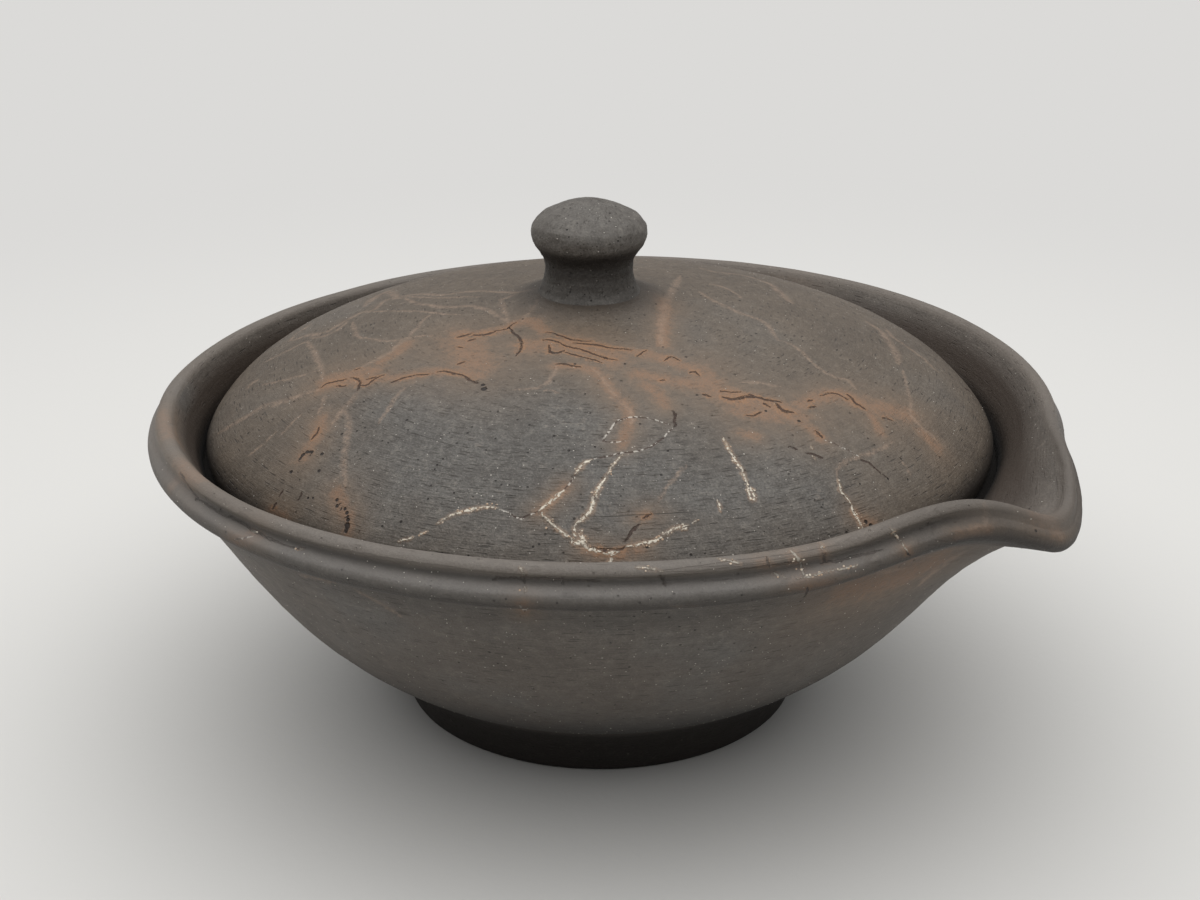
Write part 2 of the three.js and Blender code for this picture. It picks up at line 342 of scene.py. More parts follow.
# where the photograph shows each mark: width in mm (for rust half the width), then x, y, x, y and so on
# in pixels of the 1200 x 900 picture, chosen, and laid on the clay by the camera
lidMarks = {
    "crack": [  # dark lines in the rust
        (0.26, 321, 388, 327, 383, 334, 382, 340, 381, 347, 379), (0.22, 336, 386, 346, 386),
        (0.26, 350, 378, 357, 379, 360, 384, 357, 391), (0.24, 359, 385, 366, 385, 372, 381, 378, 377,
        384, 375), (0.2, 366, 380, 376, 377), (0.2, 354, 370, 361, 368), (0.22, 390, 383, 396, 381,
        403, 378, 412, 376, 420, 375, 430, 374), (0.24, 437, 372, 444, 371, 451, 373, 458, 374, 464, 376,
        470, 380, 480, 384), (0.4, 458, 337, 464, 336, 470, 334), (0.42, 474, 335, 481, 335, 488, 334,
        494, 332), (0.26, 468, 341, 475, 339), (0.28, 458, 364, 464, 362), (0.22, 455, 347, 463, 348),
        (0.16, 494, 331, 502, 330, 508, 328, 512, 325, 517, 322), (0.26, 510, 328, 515, 334, 520, 338,
        521, 344, 520, 350, 516, 356), (0.24, 545, 332, 553, 333, 561, 336, 570, 339, 582, 341, 594, 341),
        (0.24, 542, 340, 551, 340, 558, 342, 566, 346, 574, 348), (0.3, 572, 343, 585, 344, 598, 345,
        609, 348, 620, 349, 632, 350), (0.26, 549, 345, 550, 352, 557, 353, 564, 350), (0.26, 568, 346,
        579, 349, 588, 352, 596, 355, 606, 358, 617, 360), (0.24, 556, 364, 565, 364, 573, 366, 581, 367),
        (0.18, 562, 351, 575, 355, 590, 359, 604, 363), (0.2, 637, 357, 642, 353, 646, 350),
        (0.22, 664, 361, 669, 357, 674, 358, 680, 361), (0.26, 690, 373, 695, 372, 699, 376),
        (0.18, 658, 380, 666, 380), (0.18, 702, 394, 712, 397), (0.2, 720, 391, 730, 392, 741, 392),
        (0.42, 722, 397, 729, 399, 737, 399, 746, 397, 755, 397), (0.3, 748, 394, 757, 397, 766, 400,
        774, 401, 781, 402), (0.26, 764, 403, 770, 407), (0.38, 776, 404, 780, 408, 784, 411, 789, 412,
        794, 413), (0.2, 745, 415, 753, 416, 762, 412), (0.24, 808, 401, 813, 400), (0.26, 809, 408,
        816, 407), (0.2, 820, 396, 828, 394, 835, 393, 842, 396, 849, 401), (0.34, 848, 395, 853, 400,
        857, 404, 865, 409), (0.24, 882, 418, 888, 419, 893, 421), (0.24, 816, 431, 820, 435, 822, 438),
        (0.26, 788, 447, 793, 448, 798, 450), (0.3, 806, 453, 812, 454, 818, 456, 823, 458),
        (0.24, 860, 461, 866, 461, 871, 464, 876, 469), (0.16, 876, 469, 882, 474, 888, 479),
        (0.24, 319, 427, 317, 433, 313, 438, 310, 441), (0.24, 284, 490, 281, 494, 279, 497),
        (0.26, 276, 503, 273, 509), (0.22, 302, 492, 300, 497, 297, 500), (0.3, 639, 525, 634, 530,
        630, 535, 624, 542), (0.24, 643, 518, 647, 516, 651, 514), (0.3, 588, 548, 598, 549, 609, 550,
        619, 550, 627, 547), (0.24, 672, 410, 674, 413, 675, 420, 675, 427), (0.24, 964, 388, 969, 391,
        974, 396),
    ],
    "beaded": [  # fine dotted lines, half dark and half pale
        (0.24, 673, 428, 668, 433, 660, 440, 652, 446, 642, 450, 632, 452, 620, 453, 610, 456, 598, 458,
        589, 460), (0.24, 674, 426, 665, 423, 655, 420, 645, 418, 636, 417, 627, 418, 617, 421, 612, 428,
        606, 436, 603, 441, 612, 442, 625, 441), (0.2, 494, 508, 505, 511, 512, 515, 521, 519, 531, 514,
        540, 511), (0.2, 825, 440, 833, 443, 841, 447, 850, 451, 860, 457), (0.2, 563, 491, 570, 483,
        576, 474, 580, 468),
    ],
    "crust": [  # white ash that melted along the straw
        (0.34, 437, 524, 445, 519, 455, 514, 465, 511, 475, 509, 487, 507, 497, 508), (0.26, 398, 541,
        405, 540, 413, 537), (0.24, 420, 534, 428, 531), (0.42, 541, 513, 546, 519, 553, 526, 560, 531,
        567, 536, 572, 541), (0.46, 540, 510, 545, 506, 552, 500, 557, 496, 563, 491), (0.4, 575, 474,
        580, 468, 584, 463, 591, 460), (0.46, 574, 538, 575, 528, 580, 521, 587, 515, 592, 507, 594, 498,
        597, 490, 603, 482, 607, 474), (0.24, 607, 474, 612, 467, 618, 460, 622, 455), (0.5, 572, 542,
        578, 544, 584, 540, 580, 535, 582, 531), (0.46, 580, 541, 585, 546, 592, 549, 600, 551),
        (0.46, 604, 553, 611, 553, 618, 552), (0.38, 626, 547, 635, 545, 645, 543, 655, 541, 662, 537,
        668, 533, 673, 529, 680, 527, 688, 526), (0.26, 682, 530, 688, 528), (0.34, 611, 554, 612, 558,
        610, 562, 612, 565), (0.22, 693, 523, 698, 521), (0.34, 723, 438, 726, 443, 729, 450, 733, 456,
        737, 463, 742, 470, 745, 477, 748, 484), (0.3, 747, 484, 749, 493, 752, 501, 755, 497, 751, 488),
        (0.24, 749, 487, 756, 491), (0.26, 717, 500, 720, 506, 721, 512), (0.28, 838, 480, 840, 487,
        841, 492, 847, 498, 851, 505), (0.38, 851, 505, 853, 511, 857, 517, 860, 523, 863, 529),
        (0.2, 811, 446, 813, 450), (0.24, 812, 456, 815, 460),
    ],
    "vein": [  # pale lines left by straw
        (0.6, 290, 341, 296, 334, 305, 328, 311, 324), (0.7, 290, 341, 300, 338, 309, 335, 320, 334,
        330, 330, 340, 324, 349, 319, 358, 314, 366, 311), (0.5, 311, 338, 320, 337, 332, 333, 340, 328,
        348, 321), (0.5, 265, 362, 275, 357, 285, 352, 295, 347, 307, 341), (0.55, 307, 341, 311, 347,
        315, 353, 318, 361, 321, 370, 322, 380), (1.0, 365, 306, 370, 301, 378, 296, 388, 292, 397, 297),
        (0.55, 398, 297, 410, 295, 425, 294, 440, 295, 452, 294, 465, 292, 480, 291, 500, 292, 520, 292,
        536, 288), (0.4, 400, 296, 420, 297, 440, 298, 460, 297, 480, 297), (0.5, 366, 312, 375, 309,
        381, 303, 390, 299, 405, 298), (0.6, 405, 298, 413, 302, 420, 304, 430, 305, 442, 307, 455, 307,
        470, 306, 480, 308, 490, 311, 498, 316, 505, 320), (0.35, 366, 312, 385, 311, 400, 311, 415, 311,
        428, 312, 445, 314, 460, 315), (0.45, 430, 315, 423, 320, 417, 328, 410, 335, 406, 339, 398, 345,
        390, 352, 380, 358, 370, 363, 360, 368), (0.35, 406, 339, 420, 336, 433, 336), (0.45, 352, 322,
        355, 330, 358, 336, 370, 339, 390, 341, 405, 339), (0.75, 219, 433, 230, 426, 240, 420, 250, 415,
        260, 408, 270, 405, 282, 402, 293, 398, 305, 394, 318, 390), (0.5, 248, 388, 252, 383, 258, 380),
        (0.35, 262, 385, 280, 381, 300, 376, 320, 371), (0.4, 325, 395, 322, 405, 318, 414),
        (0.6, 357, 391, 352, 400, 345, 408, 338, 416, 333, 423), (0.6, 345, 410, 349, 425, 346, 445,
        344, 465, 346, 485), (0.4, 405, 388, 396, 397, 388, 410, 378, 424), (0.3, 276, 432, 262, 445,
        248, 456), (0.3, 302, 414, 290, 425, 280, 436), (0.4, 515, 390, 527, 389, 540, 387, 548, 381,
        553, 375, 556, 367), (0.3, 543, 390, 553, 391, 560, 393), (0.5, 500, 300, 508, 297, 516, 294,
        524, 291), (0.55, 500, 300, 503, 306, 505, 313, 508, 322), (0.5, 537, 300, 533, 308, 527, 315,
        521, 321), (0.8, 680, 276, 675, 286, 669, 296, 665, 306, 663, 318, 661, 330, 662, 345),
        (0.55, 700, 292, 712, 300, 725, 306, 740, 313, 755, 318, 768, 325, 774, 334, 778, 340),
        (0.4, 778, 340, 790, 344, 801, 351, 812, 362, 822, 370, 835, 377, 848, 380, 856, 389),
        (0.5, 700, 268, 715, 272, 735, 274, 750, 277, 762, 281), (0.8, 762, 281, 770, 284, 778, 291,
        785, 297, 792, 303), (0.9, 867, 322, 875, 327, 883, 333, 888, 341, 893, 348, 897, 356, 898, 363),
        (0.6, 885, 328, 893, 337, 903, 344, 913, 351, 923, 358, 930, 365, 937, 371), (0.4, 903, 370,
        905, 380, 908, 392, 911, 403, 911, 413), (0.5, 908, 413, 915, 420, 922, 428, 930, 434, 936, 440),
        (0.4, 710, 284, 720, 286, 730, 290, 742, 298), (0.4, 740, 383, 755, 382, 765, 384, 781, 387),
        (0.4, 838, 480, 837, 472, 839, 466, 850, 460, 862, 456, 875, 451, 885, 446, 894, 442),
        (0.3, 900, 460, 906, 467, 911, 475), (0.35, 686, 465, 675, 478, 665, 490, 658, 502),
        (0.4, 630, 425, 632, 418, 628, 408, 619, 401, 609, 397), (0.35, 592, 368, 600, 376, 608, 386,
        618, 398),
    ],
    "score": [  # thin dark scratches
        (0.14, 416, 434, 425, 437, 435, 440, 447, 444, 458, 447), (0.1, 470, 450, 487, 451, 505, 449,
        522, 452, 540, 455, 563, 457), (0.1, 466, 407, 480, 410, 497, 414), (0.14, 553, 436, 560, 436,
        568, 437), (0.12, 568, 517, 600, 517, 640, 515, 680, 513, 715, 511), (0.1, 655, 451, 690, 449,
        722, 450), (0.1, 645, 551, 690, 546, 730, 542, 770, 539, 800, 536), (0.1, 239, 486, 233, 492),
        (0.1, 560, 466, 590, 467, 620, 466), (0.1, 690, 539, 740, 533, 790, 524), (0.1, 640, 483, 665, 480,
        690, 481),
    ],
    "rust": [  # soft orange round the dark lines
        (1.5, 322, 388, 345, 381, 362, 381, 385, 377, 405, 377, 440, 371, 465, 373, 478, 376),
        (2.4, 330, 380, 350, 376, 372, 373), (1.2, 380, 362, 398, 352, 408, 343), (3.6, 462, 340, 468, 352,
        474, 364), (1.8, 458, 334, 480, 333, 500, 330), (1.4, 500, 330, 520, 322, 532, 322, 545, 332),
        (3.0, 530, 345, 560, 343, 590, 350, 612, 357), (1.6, 590, 346, 625, 351, 655, 356, 690, 368),
        (1.2, 556, 366, 585, 368, 598, 375, 612, 392, 625, 405), (1.8, 640, 375, 670, 380, 700, 385,
        715, 390), (2.6, 700, 372, 722, 392, 745, 402, 775, 408, 795, 415), (2.0, 740, 410, 765, 414,
        790, 416), (1.6, 800, 405, 822, 397, 845, 395, 862, 405), (2.2, 855, 402, 875, 408, 895, 412,
        906, 413), (1.0, 870, 412, 876, 424, 880, 432), (1.4, 922, 432, 930, 440, 936, 447),
        (1.1, 796, 420, 810, 428, 820, 438), (1.2, 664, 300, 664, 320, 662, 345), (1.5, 321, 420, 318, 432,
        312, 444, 304, 456), (1.3, 336, 494, 342, 506, 348, 518, 347, 532), (1.0, 270, 512, 282, 516,
        286, 520), (1.0, 588, 551, 612, 555, 640, 549), (0.9, 640, 517, 652, 515), (0.9, 540, 511,
        556, 497, 566, 487), (1.0, 628, 408, 628, 425, 622, 445), (1.2, 665, 405, 655, 392, 645, 385),
        (1.0, 855, 514, 864, 521, 874, 525), (1.0, 742, 433, 756, 436),
    ],
    "pit": [  # round pits: x, y and half width in pixels
        (484, 389, 3.2), (483, 385, 2.2), (303, 455, 2.4), (307, 452, 2.0), (300, 459, 1.8),
        (312, 452, 1.9), (322, 454, 2.0), (291, 472, 2.0), (319, 471, 1.9), (337, 500, 1.9),
        (337, 506, 2.1), (345, 509, 1.8), (347, 513, 2.0), (347, 526, 3.6), (348, 520, 2.2),
        (346, 531, 2.4), (342, 434, 1.6), (407, 420, 1.5), (408, 430, 0.9), (437, 465, 1.3),
        (443, 459, 1.1), (401, 522, 1.5), (428, 499, 1.2), (442, 553, 1.1), (575, 364, 1.4),
        (625, 364, 1.3), (697, 395, 1.4), (766, 411, 1.5), (799, 421, 1.8), (647, 547, 1.5),
        (691, 555, 1.4), (533, 547, 1.2), (556, 299, 1.0), (656, 304, 1.2), (663, 347, 1.1),
        (686, 357, 1.2), (585, 394, 1.1), (595, 447, 1.1), (668, 451, 1.3), (357, 431, 1.2),
        (821, 547, 1.5), (860, 484, 1.0), (888, 479, 1.2), (871, 526, 2.6), (866, 522, 2.2),
        (523, 319, 1.2), (509, 328, 1.4), (454, 493, 1.2), (472, 427, 1.0), (554, 436, 1.4),
        (640, 424, 1.1), (308, 498, 1.4), (313, 498, 1.2), (252, 508, 1.0),
    ],
    "ash": [  # outline of the greyer, rougher field at the front
        352, 396, 380, 388, 420, 380, 455, 378, 482, 386, 496, 398, 530, 394, 565, 394, 600, 400, 625, 412,
        660, 430, 700, 432, 730, 440, 765, 448, 800, 455, 830, 466, 840, 490, 850, 512, 862, 534, 820, 546,
        740, 562, 640, 572, 540, 570, 440, 562, 380, 552, 352, 540, 346, 500, 348, 440,
    ],
}

bowlMarks = {
    "crack": [
        (0.2, 195, 498, 202, 502, 212, 508, 225, 515, 240, 522, 255, 531, 275, 541, 290, 546, 303, 549),
        (0.22, 492, 581, 497, 578, 515, 578, 540, 578, 570, 580, 600, 581), (0.2, 735, 569, 750, 568,
        765, 566, 785, 563, 800, 561), (0.2, 818, 563, 840, 560, 860, 555, 874, 552, 884, 550),
        (0.22, 524, 573, 525, 580, 525, 584), (0.22, 660, 575, 664, 582, 666, 587), (0.24, 766, 556,
        768, 562, 770, 568), (0.24, 822, 553, 824, 558, 826, 562), (0.24, 808, 586, 808, 591, 803, 598),
        (0.2, 180, 472, 185, 480, 190, 488, 197, 497), (0.2, 906, 550, 911, 556),
    ],
    "beaded": [
        (0.26, 521, 598, 521, 606, 525, 612, 528, 610), (0.24, 233, 540, 245, 538, 257, 535),
        (0.22, 205, 518, 205, 525),
    ],
    "crust": [
        (0.34, 520, 567, 523, 572, 524, 577), (0.34, 525, 587, 525, 591), (0.26, 636, 567, 645, 568,
        655, 570, 663, 572), (0.3, 717, 558, 725, 560, 735, 562, 742, 564), (0.36, 772, 572, 779, 575,
        785, 578), (0.34, 790, 550, 795, 555, 800, 562, 802, 570, 804, 576), (0.36, 818, 542, 822, 547,
        826, 553), (0.3, 889, 528, 894, 533, 899, 540, 904, 546, 909, 552), (0.3, 252, 530, 257, 532),
        (0.24, 300, 548, 304, 549), (0.24, 838, 570, 848, 568, 858, 565), (0.22, 797, 579, 808, 577,
        822, 573, 836, 569),
    ],
    "vein": [
        (0.5, 985, 503, 985, 510, 985, 520, 986, 528), (0.9, 985, 530, 974, 533, 962, 538, 952, 545),
        (1.1, 962, 553, 951, 560, 941, 567, 930, 575, 922, 583), (0.6, 355, 590, 370, 598, 385, 606,
        400, 616), (0.6, 300, 575, 318, 579, 335, 583), (0.5, 672, 606, 685, 607, 697, 606),
        (0.9, 1040, 516, 1050, 523, 1058, 532, 1063, 538), (0.7, 172, 486, 178, 480, 181, 474),
        (0.6, 840, 578, 860, 575, 885, 572, 905, 568),
    ],
    "score": [
        (0.14, 524, 645, 530, 646, 535, 647), (0.2, 300, 541, 340, 549, 380, 557, 430, 565, 497, 573,
        563, 577, 630, 578, 680, 574, 730, 568, 780, 562, 830, 554, 880, 541), (0.14, 660, 571, 700, 566,
        740, 560, 790, 554, 840, 545), (0.1, 520, 631, 532, 632), (0.1, 556, 644, 600, 645, 640, 644),
        (0.12, 640, 579, 665, 578, 690, 575, 715, 572), (0.12, 700, 582, 730, 579, 760, 576),
    ],
    "rust": [
        (1.6, 798, 582, 812, 583, 826, 584), (3.6, 850, 588, 892, 580, 932, 562), (1.8, 1036, 515,
        1046, 520, 1056, 530), (1.6, 160, 412, 166, 425, 172, 436), (1.8, 180, 462, 188, 470, 198, 478),
        (1.0, 172, 486, 180, 476), (1.2, 232, 540, 256, 536), (0.9, 524, 600, 524, 612), (1.2, 794, 555,
        802, 568), (1.0, 905, 550, 912, 560), (1.4, 960, 538, 985, 533), (1.0, 764, 562, 770, 570),
        (0.8, 822, 548, 826, 560),
    ],
    "pit": [
        (197, 499, 2.2), (206, 498, 1.8), (221, 510, 1.6), (1036, 531, 1.6), (342, 570, 1.2),
        (557, 603, 1.2), (674, 594, 1.2), (589, 586, 1.1), (506, 599, 1.1), (643, 612, 1.1),
        (908, 554, 1.3), (226, 532, 1.0), (742, 595, 1.0), (618, 596, 1.1), (914, 560, 1.4),
        (899, 567, 1.0),
    ],
    "ash": [
        300, 556, 420, 575, 560, 584, 700, 578, 820, 560, 900, 535, 960, 515, 950, 530, 880, 562, 800, 582,
        700, 596, 560, 602, 420, 592, 310, 572,
    ],
}


# the side turned away from the photograph: guessed marks, with degrees round from the spout and heights in mm
farMarks = {
    "crack": [
        (0.26, 96, 37, 102, 36, 108, 36.6, 114, 35.4), (0.2, 176, 33, 182, 32.4, 188, 33.2),
    ],
    "crust": [
        (0.3, 128, 24, 132, 28, 133, 33, 138, 36), (0.22, 138, 36, 146, 37, 152, 36),
    ],
    "vein": [
        (0.5, 70, 20, 80, 27, 88, 33, 92, 39), (0.4, 100, 38, 110, 30, 126, 24, 140, 21), (0.4, 150, 38,
        158, 31, 170, 26), (0.5, 184, 20, 190, 28, 194, 37), (0.35, 200, 24, 192, 30, 180, 34, 168, 36),
    ],
    "rust": [
        (3.0, 94, 37, 106, 36, 118, 35), (2.4, 126, 23, 134, 27), (2.0, 174, 34, 190, 32),
    ],
}


outsidePot = 0.2    # metres from the axis, where the level rays start


def landed(hit):  # the place in mm and the normal of a ray's first hit
    return (None, None) if hit[0] is None else (np.array(hit[0]) / mm, np.array(hit[1]))


def landBehind(surface, angle, height):  # level with a height, in towards the turning axis
    away = Vector((math.cos(math.radians(angle)), math.sin(math.radians(angle)), 0))
    return landed(surface.ray_cast(away * outsidePot + Vector((axisX, 0, height * mm)), -away))


# a pixel of the photograph, as a ray from the camera to the first point of a surface
def landOn(surface, x, y):
    way = ahead * view.focalPixels + sideways * (x - view.width / 2) + upwards * (view.height / 2 - y)
    return landed(surface.ray_cast(eye, way.normalized()))


def smoothRoute(numbers):  # a curve through the points, in steps of about two pixels
    points = np.reshape(numbers, (-1, 2)).astype(float)
    ends = np.concatenate(([2 * points[0] - points[1]], points, [2 * points[-1] - points[-2]]))
    steps = []
    for a, b, c, d in zip(ends, ends[1:], ends[2:], ends[3:]):
        for t in np.linspace(0, 1, max(2, int(np.hypot(*(c - b)) / 2)), endpoint=False):
            steps.append(0.5 * (2 * b + (c - a) * t + (2 * a - 5 * b + 4 * c - d) * t * t
                                + (3 * b - a - 3 * c + d) * t ** 3))
    return steps + [points[-1]]


def layRoutes(surface, routes, land=landOn):
    laid = []
    for width, *numbers in routes:
        hits = [land(surface, *point) for point in smoothRoute(numbers)]
        hits = [hit for hit in hits if hit[0] is not None]
        if len(hits) > 1:
            laid.append((width, np.array([hit[0] for hit in hits]), np.array([hit[1] for hit in hits])))
    return laid


# how the lines are stored, in mm: how far from a line it is felt, the gap kept between two lines of a layer,
# the share of a line that tapers, how thin it ends, and the softness of rust and of the grey field
strokes = Sizes({"reach": 3.0, "gap": 2.4, "none": 9.0, "taperShare": 0.25, "taperEnd": 0.35,
                 "pitLayers": 2, "pitReach": 1.6, "pitGap": 2.2, "noPit": -99.0,
                 "rustReach": 3.5, "rustCore": 0.9, "fieldSoftness": 11.0})
layers = {"crack": 4, "beaded": 2, "crust": 3, "vein": 4, "score": 1}
tiny = 1e-9         # keeps a division by a length above nothing


def alongside(points, route, normals, reach):  # offsets of the near points from one line on the surface
    low, high = route.min(0) - reach, route.max(0) + reach
    near = np.flatnonzero(((points > low) & (points < high)).all(1))
    start, step = route[:-1], np.diff(route, axis=0)
    length = np.linalg.norm(step, axis=1)
    rel = points[near, None] - start[None]
    share = np.clip((rel * step).sum(2) / np.maximum(length ** 2, tiny), 0, 1)
    away = np.linalg.norm(rel - share[..., None] * step, axis=2)
    best = away.argmin(1)
    rows = np.arange(len(near))
    across = np.cross(normals[:-1][best], step[best] / length[best, None])
    offset = (rel[rows, best] * across).sum(1)
    total = length.sum()
    travelled = np.concatenate(([0], np.cumsum(length)))[best] + share[rows, best] * length[best]
    fromEnd = np.minimum(travelled, total - travelled) / max(total * strokes.taperShare, tiny)
    return near, offset, away[rows, best], np.clip(fromEnd, 0, 1)


def farApart(route, others, gap):
    return all(np.linalg.norm(route[:, None] - other[None], axis=2).min() > gap for other in others)


# lines of one kind are shared out over a few layers, so that no two in a layer come close, and each point
# of the mesh gets, for each layer, its offset from the line, its distance and the line's half width there
def storeLines(mesh, points, kind, laid):
    shared = [[] for _ in range(layers[kind])]
    for width, route, normals in sorted(laid, key=lambda line: -len(line[1])):
        free = [layer for layer in shared if farApart(route, [line[1] for line in layer], strokes.gap)]
        choice = min(free or shared, key=len)
        choice.append((width, route, normals))
    for number, layer in enumerate(shared):
        values = np.tile(np.array([strokes.none, strokes.none, 0.0]), (len(points), 1))
        for width, route, normals in layer:
            near, offset, away, fromEnd = alongside(points, route, normals, strokes.reach)
            closer = away < values[near, 1]
            half = width / 2 * (strokes.taperEnd + (1 - strokes.taperEnd) * fromEnd ** 0.5)
            values[near[closer]] = np.stack((offset, away, half), axis=1)[closer]
        store(mesh, kind + str(number), "FLOAT_VECTOR", values)


def storePits(mesh, points, surface, pits):
    centres = [[] for _ in range(strokes.pitLayers)]
    for x, y, half in pits:
        spot, _ = landOn(surface, x, y)
        if spot is None:
            continue
        size = half * np.linalg.norm(spot - np.array(eye) / mm) / view.focalPixels
        free = [layer for layer in centres
                if all(np.linalg.norm(spot - other) > strokes.pitGap for other, _ in layer)]
        min(free or centres, key=len).append((spot, size))
    for number, layer in enumerate(centres):
        middle = np.tile(np.array([0.0, 0.0, strokes.noPit]), (len(points), 1))
        sizes, nearest = np.zeros(len(points)), np.full(len(points), strokes.pitReach)
        for spot, size in layer:
            away = np.linalg.norm(points - spot, axis=1)
            closer = away < nearest
            nearest[closer], sizes[closer], middle[closer] = away[closer], size, spot
        store(mesh, "pitSpot" + str(number), "FLOAT_VECTOR", middle)
        store(mesh, "pitSize" + str(number), "FLOAT", sizes)


def storeRust(mesh, points, laid):
    values = np.zeros(len(points))
    for half, route, normals in laid:
        near, _, away, _ = alongside(points, route, normals, half * strokes.rustReach)
        values[near] = np.maximum(values[near], np.exp(-(away / (half * strokes.rustCore)) ** 2))
    store(mesh, "rust", "FLOAT", values)


def storeField(mesh, points, surface, outline):  # 1 inside an outline on the surface, fading over its edge
    hits = [landOn(surface, *point) for point in np.reshape(outline, (-1, 2))]
    spots = np.array([spot for spot, _ in hits if spot is not None])
    plan, after = spots[:, :2], np.roll(spots[:, :2], -1, axis=0)
    x, y = points[:, 0, None], points[:, 1, None]
    slant = (after[:, 0] - plan[:, 0]) * (y - plan[:, 1]) / (after[:, 1] - plan[:, 1] + tiny)
    crosses = ((plan[:, 1] > y) != (after[:, 1] > y)) & (x < slant + plan[:, 0])
    inside = crosses.sum(1) % 2 == 1
    step = after - plan
    rel = points[:, None, :2] - plan[None]
    share = np.clip((rel * step).sum(2) / (step ** 2).sum(1), 0, 1)
    edge = np.linalg.norm(rel - share[..., None] * step, axis=2).min(1)
    depth = np.where(inside, edge, -edge) / strokes.fieldSoftness
    store(mesh, "ash", "FLOAT", np.clip(0.5 + depth / 2, 0, 1))


def storeMarks(piece, marks, behind):
    mesh = piece.data
    points = np.empty(len(mesh.vertices) * 3, np.float32)
    mesh.vertices.foreach_get("co", points)
    points = points.reshape(-1, 3).astype(float) / mm
    surface = BVHTree.FromPolygons(
        [vertex.co for vertex in mesh.vertices], [face.vertices for face in mesh.polygons])

    def laid(kind):
        return layRoutes(surface, marks[kind]) + layRoutes(surface, behind.get(kind, []), landBehind)

    for kind in layers:
        storeLines(mesh, points, kind, laid(kind))
    storePits(mesh, points, surface, marks["pit"])
    storeRust(mesh, points, laid("rust"))
    storeField(mesh, points, surface, marks["ash"])
    print(piece.name + ": marks laid")


# clay
# sootAndShade: near-black for holes and for gaps in and round the crust, and the tone of the painted shade
# below a height
clayTones = {"ash": paint(101, 101, 99), "dark": paint(58, 52, 47), "sootAndShade": paint(22, 18, 16),
             "pale": paint(172, 165, 154), "speck": paint(214, 208, 197), "rust": paint(136, 106, 83),
             "warm": paint(119, 101, 84), "ember": paint(160, 116, 78), "vein": paint(153, 131, 113),
             "crust": paint(226, 217, 200), "flesh": paint(172, 143, 118), "crack": paint(60, 41, 31),
             "score": paint(60, 55, 50), "pit": paint(34, 26, 22)}
thin = 0.001        # keeps a division by a width above nothing


# specks in some of the cells of a scattered grid; size is a share of a cell
def dots(place, scale, size, share):
    cell = addNode(place.tree, "ShaderNodeTexVoronoi", None, {"Vector": place, "Scale": scale})
    dice, luck, _ = Wire(place.tree, cell.outputs["Color"]).parts()
    reach = size * (luck + 0.5) * dice.maths("LESS_THAN", share) + thin
    return (Wire(place.tree, cell.outputs["Distance"]) / reach).span(1.0, 0.55)


def newMaterial(name):  # an empty material, with the object's own coordinates
    material = bpy.data.materials.new(name)
    material.use_nodes = True
    tree = material.node_tree
    tree.nodes.clear()
    return material, Wire(tree, addNode(tree, "ShaderNodeTexCoord").outputs["Object"])


# noises of the clay, each with its scale per mm, detail and roughness
noises = {"cloud": (0.045, 3.0, 0.55), "patch": (0.2, 3.0, 0.6), "blotch": (0.9, 3.0, 0.65),
          "grain": (3.8, 3.0, 0.7), "wobble": (0.9, 2.0), "jag": (2.4, 3.0, 0.7), "beads": (2.4, 2.0),
          "lumps": (2.6, 3.0, 0.65)}
# wear laid over the base: tone, noise, where it starts and is full, its share on smooth clay, and how much
# more there is on rough clay
wear = [("dark", "blotch", 0.55, 0.3, 0.12, 0.3), ("pale", "blotch", 0.52, 0.74, 0.08, 0.1),
        ("dark", "streak", 0.5, 0.28, 0.1, 0.34), ("pale", "streak", 0.54, 0.78, 0.06, 0.1),
        ("dark", "grain", 0.55, 0.3, 0.25, 0.3), ("pale", "grain", 0.52, 0.74, 0.12, 0.14)]
# specks in the clay: cells per mm, size as a share of a cell, share of the cells on rough clay, strength
# and tone
flecks = {"dashes": (1.0, 0.34, 0.4, 0.75, "score"), "holes": (1.1, 0.15, 0.25, 0.8, "sootAndShade"),
          "specks": (1.7, 0.13, 0.12, 0.75, "speck")}
# lines: how far they waver, how soft their edges are and how much wider than stored they show
lineLooks = {"vein": (0.8, 0.95, 1.3), "score": (0.15, 0.5, 1.0), "beaded": (0.3, 0.5, 1.0),
             "scorch": (0.9, 0.95, 4.0), "crack": (0.55, 0.5, 1.15), "crust": (0.45, 0.5, 0.8),
             "crustEdge": (0.6, 0.95, 1.7)}


def most(wires):  # the largest of several wires
    wires = list(wires)
    for wire in wires[1:]:
        wires[0] = wires[0].maths("MAXIMUM", wire)
    return wires[0]


